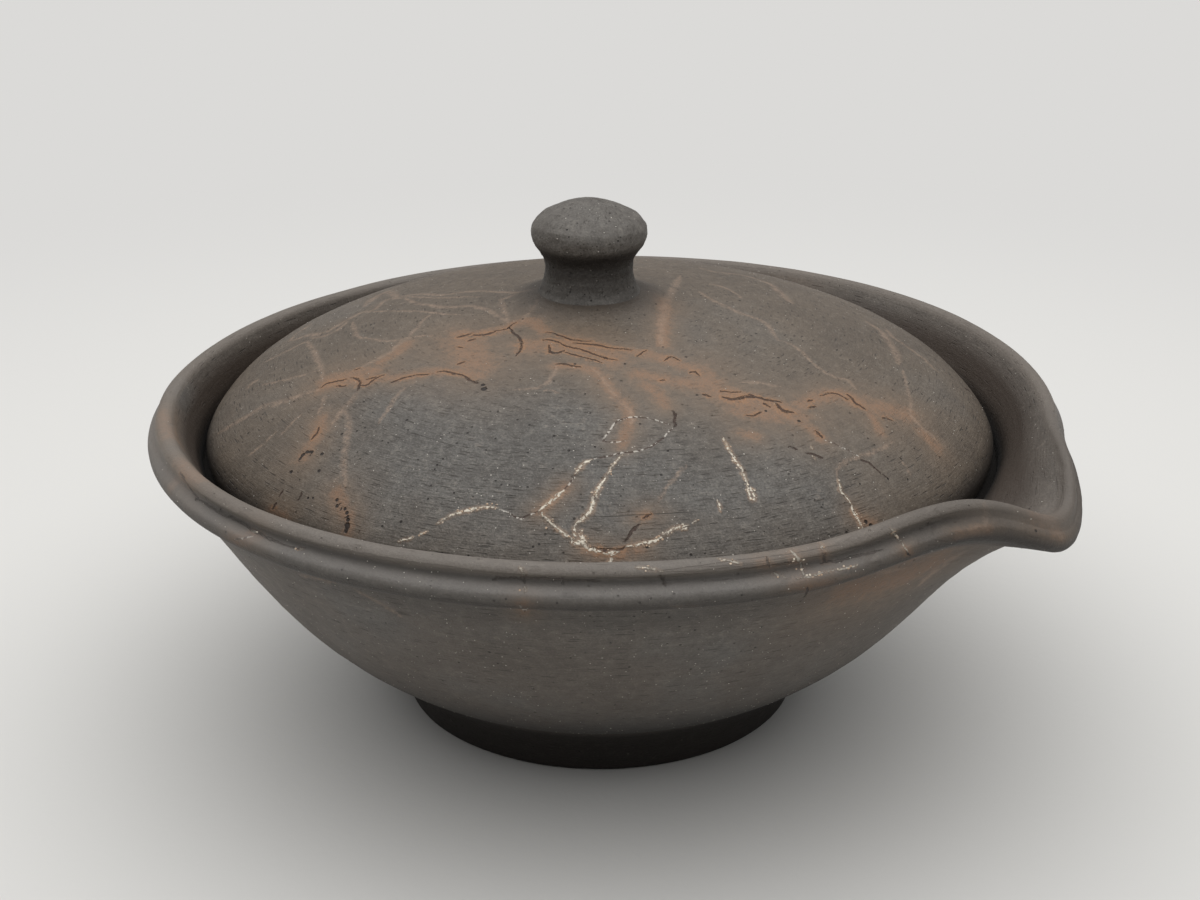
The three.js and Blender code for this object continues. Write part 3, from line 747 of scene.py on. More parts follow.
def clayMaterial(name, look):
    material, place = newMaterial(name)
    tree = place.tree
    place = place.vector("SUBTRACT", (axisX, 0, 0)).scaled(1 / mm)
    x, y, z = place.parts()
    ring = (x * x + y * y + offAxis) ** 0.5 + z * look.ringSlope
    noise = {key: place.noise(*values) for key, values in noises.items()}
    noise["streak"] = ringWay(x, y, ring * 2.6, 12.0).noise(1.0, 3.0, 0.65)     # drag marks along the rings
    patch, blotch, grain, streak = (noise[key] for key in ("patch", "blotch", "grain", "streak"))

    def number(key, output="Fac"):
        return Wire(tree, addNode(tree, "ShaderNodeAttribute", {"attribute_name": key}).outputs[output])

    # broad tone, drag marks and grain
    ash = number("ash") if look.marks else patch * 0.0
    ash = (ash + (patch - 0.5) * 0.5).span(0.1, 0.9)
    coarse = ash * (1 - look.rough) + look.rough
    greyer = most([ash * look.ashTone, noise["cloud"].span(0.5, 0.72) * look.greyPatch])
    colour = blend(greyer, look.base, clayTones["ash"])

    def lay(tone, amount):
        nonlocal colour
        colour = colour.tint(clayTones[tone], amount)

    lay("dark", (1 - noise["cloud"].span(0.3, 0.6)) * 0.22 + (1 - patch.span(0.25, 0.6)) * 0.18)
    for tone, key, low, high, share, rougher in wear:
        lay(tone, noise[key].span(low, high) * (coarse * rougher + share))
    found = {}
    for key, (scale, size, rougher, strength, tone) in flecks.items():
        where = ringWay(x, y, ring * 3.0, 22.0) if key == "dashes" else place
        found[key] = dots(where, scale, size, coarse * rougher + look[key])
        lay(tone, found[key] * strength)
    # the fine relief in mm
    height = (grain - 0.5) * (coarse * 0.1 + 0.04) + (streak - 0.5) * (coarse * 0.1 + 0.03)
    height = height + (blotch - 0.5) * 0.1
    height = height - found["dashes"] * 0.04 - found["holes"] * 0.1 + found["specks"] * 0.04
    shine = 1.0

    if look.marks:
        rust = number("rust")
        lay("warm", rust ** 0.2 * blotch.span(0.2, 0.6, 0.35, 0.7))
        ragged = (patch - 0.5) * 0.7 + (blotch - 0.5) * 1.2 + (grain - 0.5) * 0.8
        glow = (rust * 0.95 + ragged).span(0.15, 1.2)
        lay("rust", glow * grain.span(0.3, 0.62, 0.42, 0.85))

        def covered(kind, name):  # how much of a line of this kind covers the point
            waver, soft, widen = lineLooks[name]
            for layer in range(layers[kind]):
                offset, away, half = number(kind + str(layer), "Vector").parts()
                bend = noise["wobble"] * waver + noise["jag"] * waver - waver
                off = abs(offset + bend).maths("MAXIMUM", away - half * 2)
                yield (off / (half * widen + thin)).span(1 + soft, 1 - soft)

        def line(kind, name=None):
            return most(covered(kind, name or kind))

        lay("vein", line("vein") * blotch.span(0.3, 0.6, 0.3, 1.0) * grain.span(0.3, 0.65, 0.3, 1.0) * 0.62)
        score = line("score") * grain.span(0.3, 0.5)
        lay("score", score * 0.7)
        beaded = line("beaded")
        lay("crack", beaded * noise["beads"].span(0.54, 0.48) * 0.8)
        lay("speck", beaded * noise["beads"].span(0.5, 0.56) * 0.6)
        lay("ember", line("crack", "scorch") * grain.span(0.35, 0.6, 0.2, 1.0) * glow.span(0.0, 0.3) * 0.55)
        crack = line("crack") * (grain + blotch * 0.7).span(0.66, 0.82)
        lay("crack", crack * 0.92)
        crust = line("crust") * noise["lumps"].span(0.42, 0.5)
        edge = line("crust", "crustEdge")
        lay("flesh", edge * blotch.span(0.35, 0.6, 0.2, 0.6))
        lay("sootAndShade", edge * dots(place, 2.2, 0.3, 0.35) * 0.75)
        lay("crust", crust * blotch.span(0.3, 0.5, 0.35, 1.0))
        lay("sootAndShade", crust * (1 - grain.span(0.32, 0.42)) * 0.7)
        fromAxis = place.vector("ADD", (axisX / mm, 0, 0))
        pits = []
        for layer in range(strokes.pitLayers):
            away = fromAxis.vector("DISTANCE", number("pitSpot" + str(layer), "Vector"), output=1)
            size = number("pitSize" + str(layer)) * (1 + (grain - 0.5) * 0.9)
            pits.append((away / (size + thin / 10)).span(1.15, 0.7))
        pits = most(pits)
        lay("pit", pits * 0.95)
        height = height - crack * 0.14 - score * 0.05 - pits * 0.25 + crust * 0.1 + edge * 0.05
        shine = 1 - crust * 0.25
    for key, tone, amount in look.bands:  # rings of another tone, stored on the thrown mesh: a painted highlight on lip and roll, painted shade in the tuck, the groove, the inner side, the trench and round the knob's foot, where the lid's clay is also browner
        colour = colour.tint(tone, number(key) * amount * grain.span(0.2, 0.5, 0.75, 1.0))
    for low, high, foot, full in look.shade:  # painted shade, darker below a height: how dark far below, and just below; on the foot and the knob's neck it also stands for darker clay
        amount = z.span(low, high, 1.0, 0.0) * z.span(low - 6.5, low, foot, full)
        lay("sootAndShade", amount * grain.span(0.2, 0.8, 1.0, 0.82))
    roughness = grain.span(0.2, 0.8, look.roughness - 0.07, look.roughness + 0.07) * shine
    place.make("ShaderNodeBsdfPrincipled", None, {
        "IOR": 1.45, "Specular IOR Level": look.shine, "Base Color": colour,
        "Roughness": most([roughness, number("trench")]),
        "Normal": place.make("ShaderNodeBump", None, {"Height": height, "Strength": 1.0, "Distance": mm}),
    }).out("ShaderNodeOutputMaterial")
    return material


looks = {
    "bowlClay": {
        "base": paint(100, 93, 86), "marks": True, "ringSlope": 1.0, "rough": 0.25, "ashTone": 0.8,
        "greyPatch": 0.5, "dashes": 0.08, "holes": 0.1, "specks": 0.14, "roughness": 0.58, "shine": 0.45,
        # lip and roll bands: a painted highlight along the rim's two beads
        "bands": [("lip", paint(120, 112, 104), 0.6), ("roll", paint(120, 116, 112), 0.6),
                  # tuck: painted shade under the roll; the groove band: its scored line with painted shade in
                  # the groove
                  ("tuck", paint(52, 47, 43), 0.8), ("scored", paint(34, 30, 27), 0.6),
                  # inside: painted shade on the inner side of rim and throat; trench: painted shade, near
                  # black, round the lid's seat
                  ("inside", paint(58, 48, 40), 0.92), ("trench", paint(14, 11, 9), 0.95)],
        # painted shade, darker towards the foot
        "shade": [(10.0, 19.0, 0.66, 0.66), (9.0, 25.0, 0.44, 0.44)]},
    "footClay": {
        "base": paint(72, 67, 62), "marks": False, "ringSlope": 1.0, "rough": 0.3, "ashTone": 0.0,
        "greyPatch": 0.0, "dashes": 0.0, "holes": 0.1, "specks": 0.03, "roughness": 0.7, "shine": 0.3,
        "bands": [], "shade": [(6.6, 9.4, 0.86, 0.86)]},
    "lidClay": {
        "base": paint(102, 91, 79), "marks": True, "ringSlope": -1.0, "rough": 0.32, "ashTone": 0.75,
        "greyPatch": 0.3, "dashes": 0.12, "holes": 0.14, "specks": 0.08, "roughness": 0.54, "shine": 0.45,
        # nearKnob: painted shade round the knob's foot, where the lid's clay is also browner
        "bands": [("nearKnob", paint(52, 46, 41), 0.66)], "shade": [(38.5, 41.2, 0.92, 0.92)]},
    "knobClay": {
        "base": paint(104, 100, 95), "marks": False, "ringSlope": 1.0, "rough": 0.45, "ashTone": 0.0,
        "greyPatch": 0.4, "dashes": 0.1, "holes": 0.2, "specks": 0.3, "roughness": 0.6, "shine": 0.4,
        "bands": [], "shade": [(61.8, 63.5, 0.35, 0.92)]},
}
clays = {name: clayMaterial(name, Sizes(look)) for name, look in looks.items()}
print("materials: built")

# bowl: thrown round, then its rim is pulled into a spout
bowlShape = Sizes({
    "footHeight": 8.0, "footTopRadius": 30.4, "footCrease": 0.8,
    "wallThickness": 4, "floorThickness": 2.4,
    "lowerBelly": (41.4, 14.0), "upperBelly": (47.4, 21.8),
    "rimRadius": 55.0, "rimHeight": 43.6,
    "lipBeadRadius": 1.2, "rollRadius": 1.7, "rollOut": 1.75, "rollDrop": 2.7,
    "rollTurn": (-55, 60), "lipTurn": (0, 150),     # degrees of each bead that stand free
    "tuckOut": 1.1, "tuckDrop": 5.3,
    "ovalRootCurve": 4.5, "spoutRootHeight": 14.6, "spoutRootCurve": 3.4, "throatCurve": 1.4,
    "seatOuterRadius": 52.3, "seatWidth": 4.4, "seatHeight": 35.8, "seatThickness": 1.4, "lidSideGap": 0.6,
    "insideTop": 0.82, "insideBottom": 0.3,
    # where the bands of painted highlight and painted shade and the groove lie, from the roll, the rim or the
    # seat, and how far they reach
    "tuckFadeDrop": 0.4, "tuckFade": 4.0, "tuckShare": 0.45, "tuckStart": 0.7, "tuckFull": 1.6,
    "grooveDrop": 0.25, "grooveReach": 0.95, "rollBandRise": 0.9, "rollBand": 1.3, "lipBandDrop": 0.1,
    "lipBand": 1.9,
    "insideDrop": 0.4, "insideFull": 2.2, "trenchRise": 3.4, "trenchFull": 2.4,
    "columns": 540, "crowding": 0.5,
})
spoutPull = Sizes({
    **{key: bowlShape[key] for key in (
        "footHeight", "rimRadius", "rimHeight", "seatHeight", "seatOuterRadius")},
    "outOfRound": 1.85,
    "flareOut": 4.2, "flareSpread": 45.0, "pullOut": 5.6, "pullSpread": 10.7,
    "shoulderOut": 0.7, "shoulderLift": 1.7, "shoulderSpread": 16.2, "shoulderAngle": 3.5,
    "nearLift": 0.7, "nearLiftAngle": 17.0, "nearLiftSpread": 10.0,     # the near shoulder stands higher
    "lipDrop": 5.6, "lipDropSpread": 7.6,
    "lipThinning": 0.22, "lipThinningSpread": 15.0, "lipThinningAngle": 11.0, "wholeRim": 0.999,
    # the groove between lip and roll: none at the tip, faint on the left, weaker on the far side
    "grooveDepth": 0.6, "grooveFaint": 0.12, "grooveFadeEnd": -124.0, "grooveFadeStart": -98.0,
    "grooveTip": 3.0, "grooveBeside": 15.0,
    "grooveFarSide": 0.45, "grooveFarStart": 60.0, "grooveFarEnd": 110.0,
    # how narrow the groove's line and its painted shade are, where the roll's painted highlight ends beside
    # the spout, and the painted shade under the spout's tip
    "scoredPower": 5.0, "spoutSide": 10.0, "rollSide": 32.0, "spoutTuck": 0.4, "spoutTuckStart": 0.9,
    "strainRadius": 0.9, "strainPitch": 3.2, "outerStrain": 3.0,
    "lumpDepth": 0.3, "lumpScale": 0.045, "ringDepth": 0.16, "ringScale": 1.1,
    "calmHeight": 3.0,
})


def bowlSection(s):
    seatInner = s.seatOuterRadius - s.seatWidth
    tuck = (s.rimRadius + s.tuckOut, s.rimHeight - s.tuckDrop)
    wall = bezier((s.footTopRadius + s.footCrease, s.footHeight), s.lowerBelly, s.upperBelly, tuck)
    rollMiddle = (s.rimRadius + s.rollOut, s.rimHeight - s.rollDrop)
    lipMiddle = (s.rimRadius + s.lipBeadRadius, s.rimHeight - s.lipBeadRadius / 2)
    roll = arc(rollMiddle, s.rollRadius, *s.rollTurn)
    lip = arc(lipMiddle, s.lipBeadRadius, *s.lipTurn)
    throat = bezier(lip[-1], (s.seatOuterRadius + s.lidSideGap, (s.seatHeight + s.rimHeight) / 2),
                    (s.seatOuterRadius, s.seatHeight))
    inside = beside(wall, s.wallThickness, s.insideTop, s.insideBottom)
    floorHeight = s.footHeight + s.floorThickness
    slope = inside[-1] - inside[-2]
    floorEdge = inside[-1] + slope * (floorHeight - inside[-1][1]) / slope[1]

    # how much a ring takes part in a feature, from its height
    def rise(low, power):
        return lambda points: np.clip((points[:, 1] - low) / (s.rimHeight - low), 0, 1) ** power

    def ones(points):
        return np.ones(len(points))

    def near(middle, reach, most=1):
        return lambda points: np.clip(1 - ((points[:, 1] - middle) / reach) ** 2, 0, 1) * most

    def below(top, reach):
        return lambda points: np.clip((top - points[:, 1]) / reach, 0, 1)

    # tuck on the wall: painted shade under the roll
    outer = {"oval": rise(s.footHeight, s.ovalRootCurve),
             "spout": rise(s.spoutRootHeight, s.spoutRootCurve),
             "tuck": near(tuck[1] - s.tuckFadeDrop, s.tuckFade, s.tuckShare)}
    grooveHeight = (roll[-1][1] + lip[0][1]) / 2
    # lip and roll: where the rim takes a painted highlight; tuck: painted shade under the roll; groove: the
    # scored line and its painted shade
    whole = {"oval": ones, "spout": ones, "groove": near(grooveHeight - s.grooveDrop, s.grooveReach),
             "roll": near(rollMiddle[1] + s.rollBandRise, s.rollBand),
             "lip": near(s.rimHeight - s.lipBandDrop, s.lipBand),
             "tuck": below(rollMiddle[1] + s.tuckStart, s.tuckFull)}
    # inside and trench: where the throat takes painted shade
    inner = {"oval": rise(s.seatHeight, 1), "spout": rise(s.seatHeight, s.throatCurve),
             "inside": below(s.rimHeight - s.insideDrop, s.insideFull),
             "trench": below(s.seatHeight + s.trenchRise, s.trenchFull)}
    # on the ledge under the lid the painted shade of inside and trench is full
    ledge = {"ledge": ones, "inside": ones, "trench": ones}
    corner = (seatInner, s.seatHeight)
    return [
        (bezier((0, s.footHeight), wall[0]), 5, {}),
        (wall, 62, outer),
        (roll, 16, whole),
        (bezier(roll[-1], lip[0]), 4, whole),
        (lip, 14, whole),
        (throat, 20, inner),
        (bezier((s.seatOuterRadius, s.seatHeight), corner), 12, ledge),
        (bezier(corner, (seatInner, s.seatHeight - s.seatThickness)), 3, ledge),
        (inside, 22, {"inside": ones}),
        (bezier(inside[-1], floorEdge, (0, floorHeight)), 18, {"inside": ones}),
    ]


def pullSpout(shape, size):
    x, y, z = position(shape).parts()
    radius = (x * x + y * y) ** 0.5
    turn = y.maths("ARCTAN2", x)
    angle = turn * (180 / math.pi)
    oval, spout, ledge, groove = (marked(shape, key) for key in ("oval", "spout", "ledge", "groove"))

    def bell(spread, offset=0.0):
        share = (angle - offset) / spread
        return (share * share * -1).maths("EXPONENT")

    shoulders = bell(size.shoulderSpread, size.shoulderAngle) \
        + bell(size.shoulderSpread, size.shoulderAngle * -1)
    out = size.flareOut * bell(size.flareSpread) + size.pullOut * bell(size.pullSpread) \
        + size.shoulderOut * shoulders
    up = size.shoulderLift * shoulders - size.lipDrop * bell(size.lipDropSpread) \
        + size.nearLift * bell(size.nearLiftSpread, size.nearLiftAngle * -1)
    thinning = size.lipThinning * bell(size.lipThinningSpread, size.lipThinningAngle) \
        * spout.maths("GREATER_THAN", size.wholeRim)
    unround = size.outOfRound * (turn * 2).maths("COSINE")
    # how much the groove is cut round the rim, and how much painted shade lies in it
    scored = angle.span(size.grooveFadeEnd, size.grooveFadeStart, size.grooveFaint, 1.0) \
        * abs(angle).span(size.grooveTip, size.grooveBeside) \
        * angle.span(size.grooveFarEnd, size.grooveFarStart, size.grooveFarSide, 1.0)
    far = radius - oval * unround + spout * out - thinning * (radius - size.rimRadius) \
        - groove * scored * size.grooveDepth
    high = z + spout * up - thinning * (z - size.rimHeight)
    # straining grooves across the ledge under the spout
    pitch = size.strainPitch / size.seatOuterRadius
    nearest = (turn / pitch).maths("ROUND").maths("MAXIMUM", size.outerStrain * -1)
    nearest = nearest.maths("MINIMUM", size.outerStrain)
    off = (turn - nearest * pitch) * radius
    depth = (size.strainRadius * size.strainRadius - off * off).maths("MAXIMUM", 0.0) ** 0.5
    cut = high.maths("MINIMUM", size.seatHeight - depth)
    high = high + (cut - high) * ledge
    shape = moved(shape, (far * turn.maths("COSINE")).joined(far * turn.maths("SINE"), high))
    # the groove's scored line, darkened with painted shade in the groove
    shape = kept(shape, "scored", (groove * scored) ** size.scoredPower)
    besideSpout = abs(angle).span(size.spoutSide, size.rollSide)
    # roll: painted highlight along the roll, fading out beside the spout
    shape = kept(shape, "roll", marked(shape, "roll") * besideSpout)
    # tuck: painted shade under the roll, and under the spout's tip
    underTip = spout.span(size.spoutTuckStart, 1.0) * (1 - besideSpout) * size.spoutTuck
    shape = kept(shape, "tuck", marked(shape, "tuck") + underTip)
    # uneven clay and the rings left by the fingers
    place = position(shape)
    x, y, z = place.parts()
    lumps = place.noise(size.lumpScale) - 0.5
    rings = ringWay(x, y, z * size.ringScale, ringTurns).noise(1.0) - 0.5
    free = (1 - ledge) * z.span(size.footHeight, size.footHeight + size.calmHeight)
    return standing(relief(shape, (lumps * size.lumpDepth + rings * size.ringDepth) * free))


bowlStart = throwClay("bowlStart", bowlSection(bowlShape), bowlShape.columns, bowlShape.crowding)
bowlClay = shaped("bowlClay", bowlStart, spoutPull, pullSpout, clays["bowlClay"])
storeMarks(bowlClay, bowlMarks, farMarks)

# foot ring
footShape = Sizes({
    "height": bowlShape.footHeight, "topRadius": bowlShape.footTopRadius,
    "bottomRadius": 27.1, "waistOut": 0.5, "width": 5, "bevel": 0.8,
    "filletStart": (28.4, 4.4), "filletBend": (30.2, 7.4), "filletEnd": (33.3, 9.28),   # smeared up the wall
    "filletSunk": (0.15, 0.25), "overlap": 0.02, "columns": 240, "step": 0.5,
})


def footSection(s):
    inner = s.bottomRadius - s.width
    top = s.height - s.overlap
    curb = s.bevel * 0.3
    outline = [(inner, s.bevel), (inner + curb, curb), (inner + s.bevel, 0),
               (s.bottomRadius - s.bevel, 0), (s.bottomRadius - curb, curb)]
    side = bezier((s.bottomRadius, s.bevel), (s.bottomRadius + s.waistOut, s.bevel + 1),
                  s.filletStart, count=5)
    fillet = bezier(s.filletStart, s.filletBend, s.filletEnd, count=12)[1:]
    back = [np.add(s.filletEnd, s.filletSunk), (s.topRadius, top), (inner, top), (inner, s.bevel)]
    return np.concatenate((outline, side, fillet, back))


def ringMesh(name, outline, columns, step):  # a closed section turned about the axis, with no poles
    points = np.concatenate([evenly(np.array(pair), max(1, int(np.hypot(*(pair[1] - pair[0])) / step)))[:-1]
                             for pair in zip(outline, outline[1:])])
    grid = turned(points, np.arange(columns) * 2 * np.pi / columns)
    number = np.arange(len(points) * columns).reshape(len(points), columns)
    beyond, after = np.roll(number, -1, axis=1), np.roll(number, -1, axis=0)
    quads = np.stack((number, beyond, np.roll(after, -1, axis=1), after), axis=-1).reshape(-1, 4)
    return added(name, smoothMesh(name, grid.reshape(-1, 3).tolist(), quads.tolist()))


footRelief = Sizes({"lumpDepth": 0.12, "lumpScale": 0.08})


def wearFoot(shape, size):
    lumps = position(shape).noise(size.lumpScale) * -1
    return standing(relief(shape, lumps * size.lumpDepth))


footStart = ringMesh("footStart", footSection(footShape), footShape.columns, footShape.step)
footClay = shaped("footClay", footStart, footRelief, wearFoot, clays["footClay"])

# lid: a low dome that sits on the ledge
lidShape = Sizes({
    "radius": 51.7, "footHeight": 36.0, "edgeHeight": 2.5, "footInset": 0.9, "footWidth": 2.4,
    "rise": 16.4, "shoulderInset": 3, "shoulderRise": 7.7, "crownRadius": 33.6, "crownDrop": 1.3,
    "flatRadius": 8.7, "thickness": 3.8, "hollowTop": 0.95, "hollowBottom": 0.14, "columns": 560,
})
lidRelief = Sizes({
    "knobX": -1.12, "knobY": -0.84, "filletRadius": 7.2, "filletHeight": 1.1, "filletSpread": 2.6,
    # darkRadius and darkFade: where the painted shade and browner clay round the knob's foot fade out
    "darkRadius": 7.0, "darkFade": 12.0, "crownLow": 53.0, "crownHigh": 54.0,
    "lumpDepth": 0.5, "lumpScale": 0.04, "ringDepth": 0.12, "ringScale": 0.5,
    "edgeLow": 37.5, "edgeHigh": 41.0,
})


def lidSection(s):
    edge = (s.radius, s.footHeight + s.edgeHeight)
    top = edge[1] + s.rise
    dome = bezier(edge, (s.radius - s.shoulderInset, edge[1] + s.shoulderRise),
                  (s.crownRadius, top - s.crownDrop), (s.flatRadius, top))
    hollow = beside(dome, s.thickness, s.hollowTop, s.hollowBottom)
    footOuter = (s.radius - s.footInset, s.footHeight)
    footInner = (footOuter[0] - s.footWidth, s.footHeight)
    under = bezier((0, top - s.thickness), (s.flatRadius, top - s.thickness), hollow[0])
    return [
        (under, 6, {}),
        (hollow, 26, {}),
        (bezier(hollow[-1], footInner), 1, {}),
        (bezier(footInner, footOuter), 4, {}),
        (bezier(footOuter, (s.radius, s.footHeight), edge), 6, {}),
        (dome, 112, {}),
        (bezier((s.flatRadius, top), (0, top)), 10, {}),
    ]


def swellLid(shape, size):
    place = position(shape)
    x, y, z = place.parts()
    away = ((x - size.knobX) * (x - size.knobX) + (y - size.knobY) * (y - size.knobY)) ** 0.5
    share = (away - size.filletRadius).maths("MAXIMUM", 0.0) / size.filletSpread
    # nearKnob: painted shade round the knob's foot, with browner clay there
    shape = kept(shape, "nearKnob", away.span(size.darkRadius, size.darkFade, 1.0, 0.0))
    fillet = size.filletHeight * (share * share * -1).maths("EXPONENT")
    shape = moved(shape, x.joined(y, z + fillet * z.span(size.crownLow, size.crownHigh)))
    lumps = place.noise(size.lumpScale) - 0.5
    rings = ringWay(x, y, away * size.ringScale, ringTurns).noise(1.0) - 0.5
    free = z.span(size.edgeLow, size.edgeHigh)
    return standing(relief(shape, (lumps * size.lumpDepth + rings * size.ringDepth) * free))


lidStart = throwClay("lidStart", lidSection(lidShape), lidShape.columns)
lidClay = shaped("lidClay", lidStart, lidRelief, swellLid, clays["lidClay"])
storeMarks(lidClay, lidMarks, {})

# knob: a mushroom of clay pressed onto the lid
knobShape = Sizes({
    "height": 13.4, "footRadius": 6.9, "seamBead": 0.4, "neckRadius": 5.7, "neckHeight": 4.6,
    "capRadius": 7.5, "capHeight": 9.2, "topDip": 0.6, "offCentre": 1.4, "offAngle": 217,
    "base": 54.9, "columns": 240,
})
knobRelief = Sizes({
    "lumpDepth": 0.4, "lumpScale": 0.11, "ringDepth": 0.35, "ringScale": 1.1, "ringTurns": 0.9,
    "gritDepth": 0.1, "gritScale": 1.6, "seamLow": 54.9, "seamHigh": 55.8,
})


def knobSection(s):
    z = s.base
    shank = (s.footRadius, z + 2 * s.seamBead)
    neck = (s.neckRadius, z + s.neckHeight)
    cap = (s.capRadius, z + s.capHeight)
    under, over = (s.neckHeight + s.capHeight) / 2, (s.capHeight + s.height) / 2
    bead = (s.footRadius + s.seamBead, z + s.seamBead)
    return [
        (bezier((0, z), (bead[0], z)), 4, {}),
        (bezier((bead[0], z), bead, shank), 5, {}),
        (bezier(shank, (s.neckRadius, z + s.neckHeight / 2), neck), 22, {}),
        (bezier(neck, (s.neckRadius, z + under), (s.capRadius, z + under), cap), 26, {}),
        (bezier(cap, (s.capRadius, z + over), (s.capRadius / 2, z + s.height - s.topDip),
                (0, z + s.height)), 44, {}),
    ]


def pinchKnob(shape, size):
    place = position(shape)
    x, y, z = place.parts()
    lumps = place.noise(size.lumpScale) - 0.5
    rings = ringWay(x, y, z * size.ringScale, size.ringTurns).noise(1.0) - 0.5
    grit = place.noise(size.gritScale, 3.0) - 0.5
    free = z.span(size.seamLow, size.seamHigh)
    depth = lumps * size.lumpDepth + rings * size.ringDepth + grit * size.gritDepth
    return standing(relief(shape, depth * free), knobLow, knobHigh)


offTurn = math.radians(knobShape.offAngle)
knobMiddle = (knobShape.offCentre * math.cos(offTurn), knobShape.offCentre * math.sin(offTurn))
knobStart = throwClay("knobStart", knobSection(knobShape), knobShape.columns, middle=knobMiddle)
knobClay = shaped("knobClay", knobStart, knobRelief, pinchKnob, clays["knobClay"])

# grains of white ash along the crusts, and grit that stands out of the clay
grainTones = {"chalk": (paint(222, 213, 196), paint(178, 152, 128)),
              "grit": (paint(206, 200, 190), paint(150, 143, 134))}
grainLook = Sizes({"roughness": 0.6, "fineScale": 900.0, "fieldScale": 55.0,      # noise scales per metre
                   "smallest": (0.5, 0.5, 0.35), "largest": (1.5, 1.2, 0.9)})


def grainMaterial(name, tones):
    material, place = newMaterial(name)
    colour = blend(place.noise(grainLook.fineScale).span(0.4, 0.6), *tones)
    place.make("ShaderNodeBsdfPrincipled", None, {
        "Base Color": colour, "Roughness": grainLook.roughness}).out("ShaderNodeOutputMaterial")
    return material


def strewn(shape, size, density):  # small grains, half sunk and lying along the surface
    spread = addNode(shape.tree, "GeometryNodeDistributePointsOnFaces", None, {
        "Mesh": shape, "Density": density, "Seed": size.seed})
    grain = shape.make("GeometryNodeMeshIcoSphere", None, {"Radius": size.radius * mm, "Subdivisions": 1})
    scale = shape.make("FunctionNodeRandomValue", {"data_type": "FLOAT_VECTOR"}, {
        0: grainLook.smallest, 1: grainLook.largest, "Seed": size.seed})
    placed = shape.make("GeometryNodeInstanceOnPoints", None, {
        "Points": Wire(shape.tree, spread.outputs["Points"]), "Instance": grain,
        "Rotation": Wire(shape.tree, spread.outputs["Rotation"]), "Scale": scale})
    return heldIn(placed.make("GeometryNodeRealizeInstances", None, {"Geometry": placed}))


def strewChalk(shape, size):
    near = []
    for layer in range(layers["crust"]):
        _, away, half = marked(shape, "crust" + str(layer), "FLOAT_VECTOR").parts()
        near.append((away / (half + thin)).span(1.5, 0.6))
    cover = most(near) * position(shape).noise(grainLook.fineScale, 1.0).span(0.4, 0.55)
    return strewn(shape, size, cover * size.density / (mm * mm))


def strewGrit(shape, size):
    z = position(shape).parts()[2]
    cloud = position(shape).noise(grainLook.fieldScale).span(0.35, 0.65, 0.3, 1.0)
    outside = (1 - marked(shape, "inside")) * (z / mm).span(size.lowest - 0.5, size.lowest + 0.5)
    field = marked(shape, "ash").span(0.1, 0.9, size.bare, 1.0)
    return strewn(shape, size, outside * cloud * field * size.density / (mm * mm))


grainPieces = {
    "lidChalk": (lidClay, "lid", strewChalk, "chalk", {"density": 7.0, "radius": 0.13, "seed": 3}),
    "bowlChalk": (bowlClay, "bowl", strewChalk, "chalk", {"density": 7.0, "radius": 0.13, "seed": 5}),
    "lidGrit": (lidClay, "lid", strewGrit, "grit",
                {"density": 0.3, "radius": 0.065, "seed": 11, "lowest": 39.5, "bare": 0.25}),
    "bowlGrit": (bowlClay, "bowl", strewGrit, "grit",
                 {"density": 0.25, "radius": 0.07, "seed": 17, "lowest": 8.0, "bare": 0.6}),
}
for name, (clay, body, strew, tones, values) in grainPieces.items():
    start = added(name + "Start", clay.data.copy())
    grains = shaped(name, start, values, strew, grainMaterial(name, grainTones[tones]))
    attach(grains, body)
    body + "_clay"

for piece, body, node, slot in (
        (bowlClay, "bowl", "bowl", "bowl_clay"), (footClay, "bowl", "foot_ring", "foot_clay"),
        (lidClay, "lid", "lid", "lid_clay"), (knobClay, "lid", "knob", "knob_clay")):
    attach(piece, body)
    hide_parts(node)

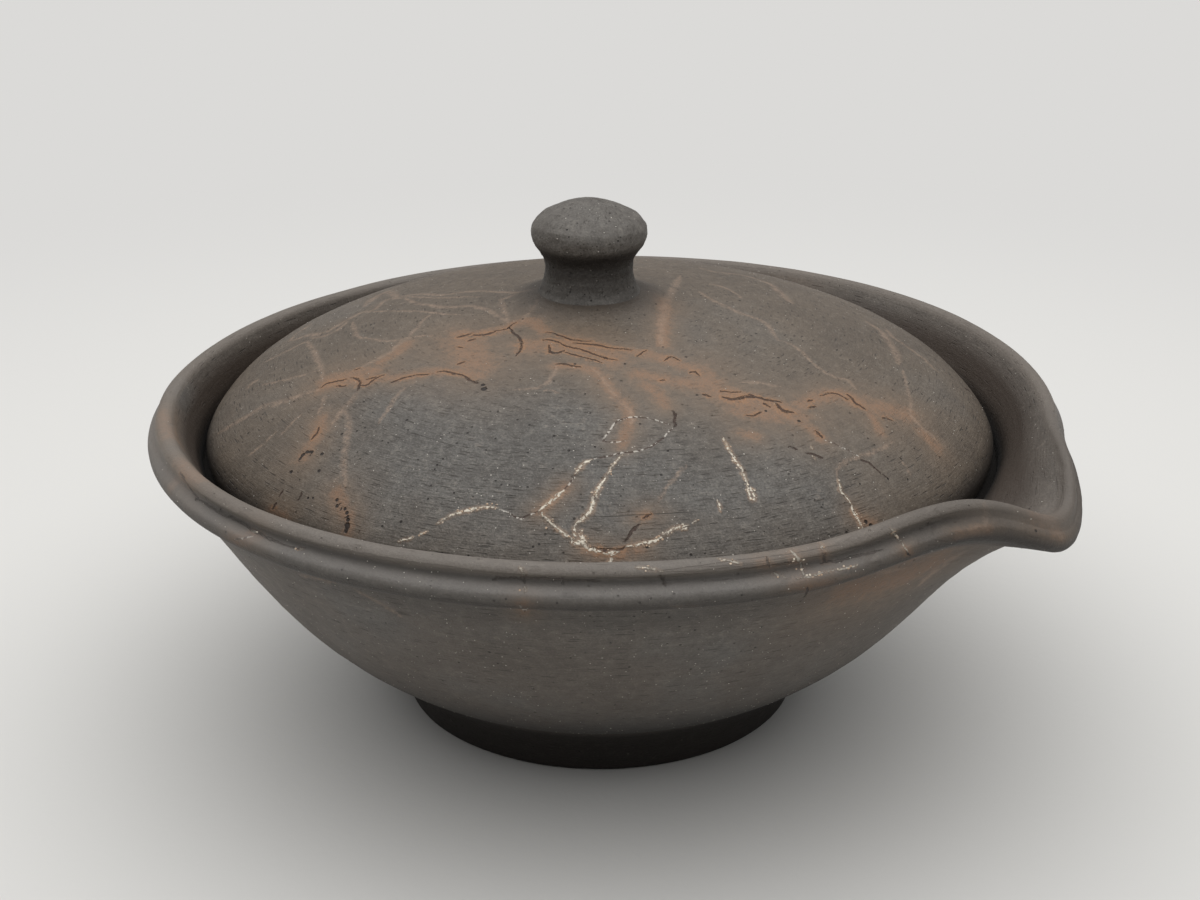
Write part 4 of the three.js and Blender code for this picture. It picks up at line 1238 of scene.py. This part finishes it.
# table, lamp and room light
studio = Sizes({"floor": paint(214, 213, 210), "backdrop": paint(219, 218, 216), "room": 0.24,
                "floorRadius": 4.0, "floorSides": 96, "glowStart": 0.11, "glowFull": 0.3,       # metres
                "paperScale": 900.0, "paperDepth": 0.0005, "paperStrength": 0.05,
                "lampSize": 2.4, "lampWatts": 22.5, "lampHeight": 1.0})


def cameraOnly(wire, factor, first, second):  # one shader, with another laid over it for the camera alone
    onCamera = Wire(wire.tree, addNode(wire.tree, "ShaderNodeLightPath").outputs["Is Camera Ray"])
    return wire.make("ShaderNodeMixShader", None, {0: onCamera * factor, 1: first, 2: second})


def floorMaterial():
    material, place = newMaterial("paleTable")
    paper = place.make("ShaderNodeBump", None, {
        "Height": place.noise(studio.paperScale, 3.0), "Strength": studio.paperStrength,
        "Distance": studio.paperDepth})
    far = place.vector("LENGTH", output=1).span(studio.glowStart, studio.glowFull)
    flat = place.make("ShaderNodeBsdfDiffuse", None, {"Color": studio.floor, "Normal": paper})
    glow = place.make("ShaderNodeEmission", None, {"Color": studio.backdrop, "Strength": 1.0})
    cameraOnly(place, far, flat, glow).out("ShaderNodeOutputMaterial")
    return material


floorMesh = bpy.data.meshes.new("table")
corners = [2 * math.pi * i / studio.floorSides for i in range(studio.floorSides)]
places = [(studio.floorRadius * math.cos(a), studio.floorRadius * math.sin(a), 0) for a in corners]
floorMesh.from_pydata(places, [], [list(range(studio.floorSides))])
floorMesh.materials.append(floorMaterial())
added("table", floorMesh)

lampData = bpy.data.lights.new("softbox", "AREA")
lampData.shape = "DISK"
lampData.size = studio.lampSize
lampData.energy = studio.lampWatts
added("softbox", lampData).location = (0, 0, studio.lampHeight)     # faces down

world = bpy.data.worlds.new("room")
scene.world = world
world.use_nodes = True
world.node_tree.nodes.clear()
ambient, backdrop = (Wire(world.node_tree, addNode(world.node_tree, "ShaderNodeBackground", None, {
    "Color": colour, "Strength": strength}).outputs[0])
    for colour, strength in (((1, 1, 1, 1), studio.room), (studio.backdrop, 1.0)))
cameraOnly(ambient, 1, ambient, backdrop).out("ShaderNodeOutputWorld")
scene.view_settings.view_transform = "Standard"
print("studio: lit")
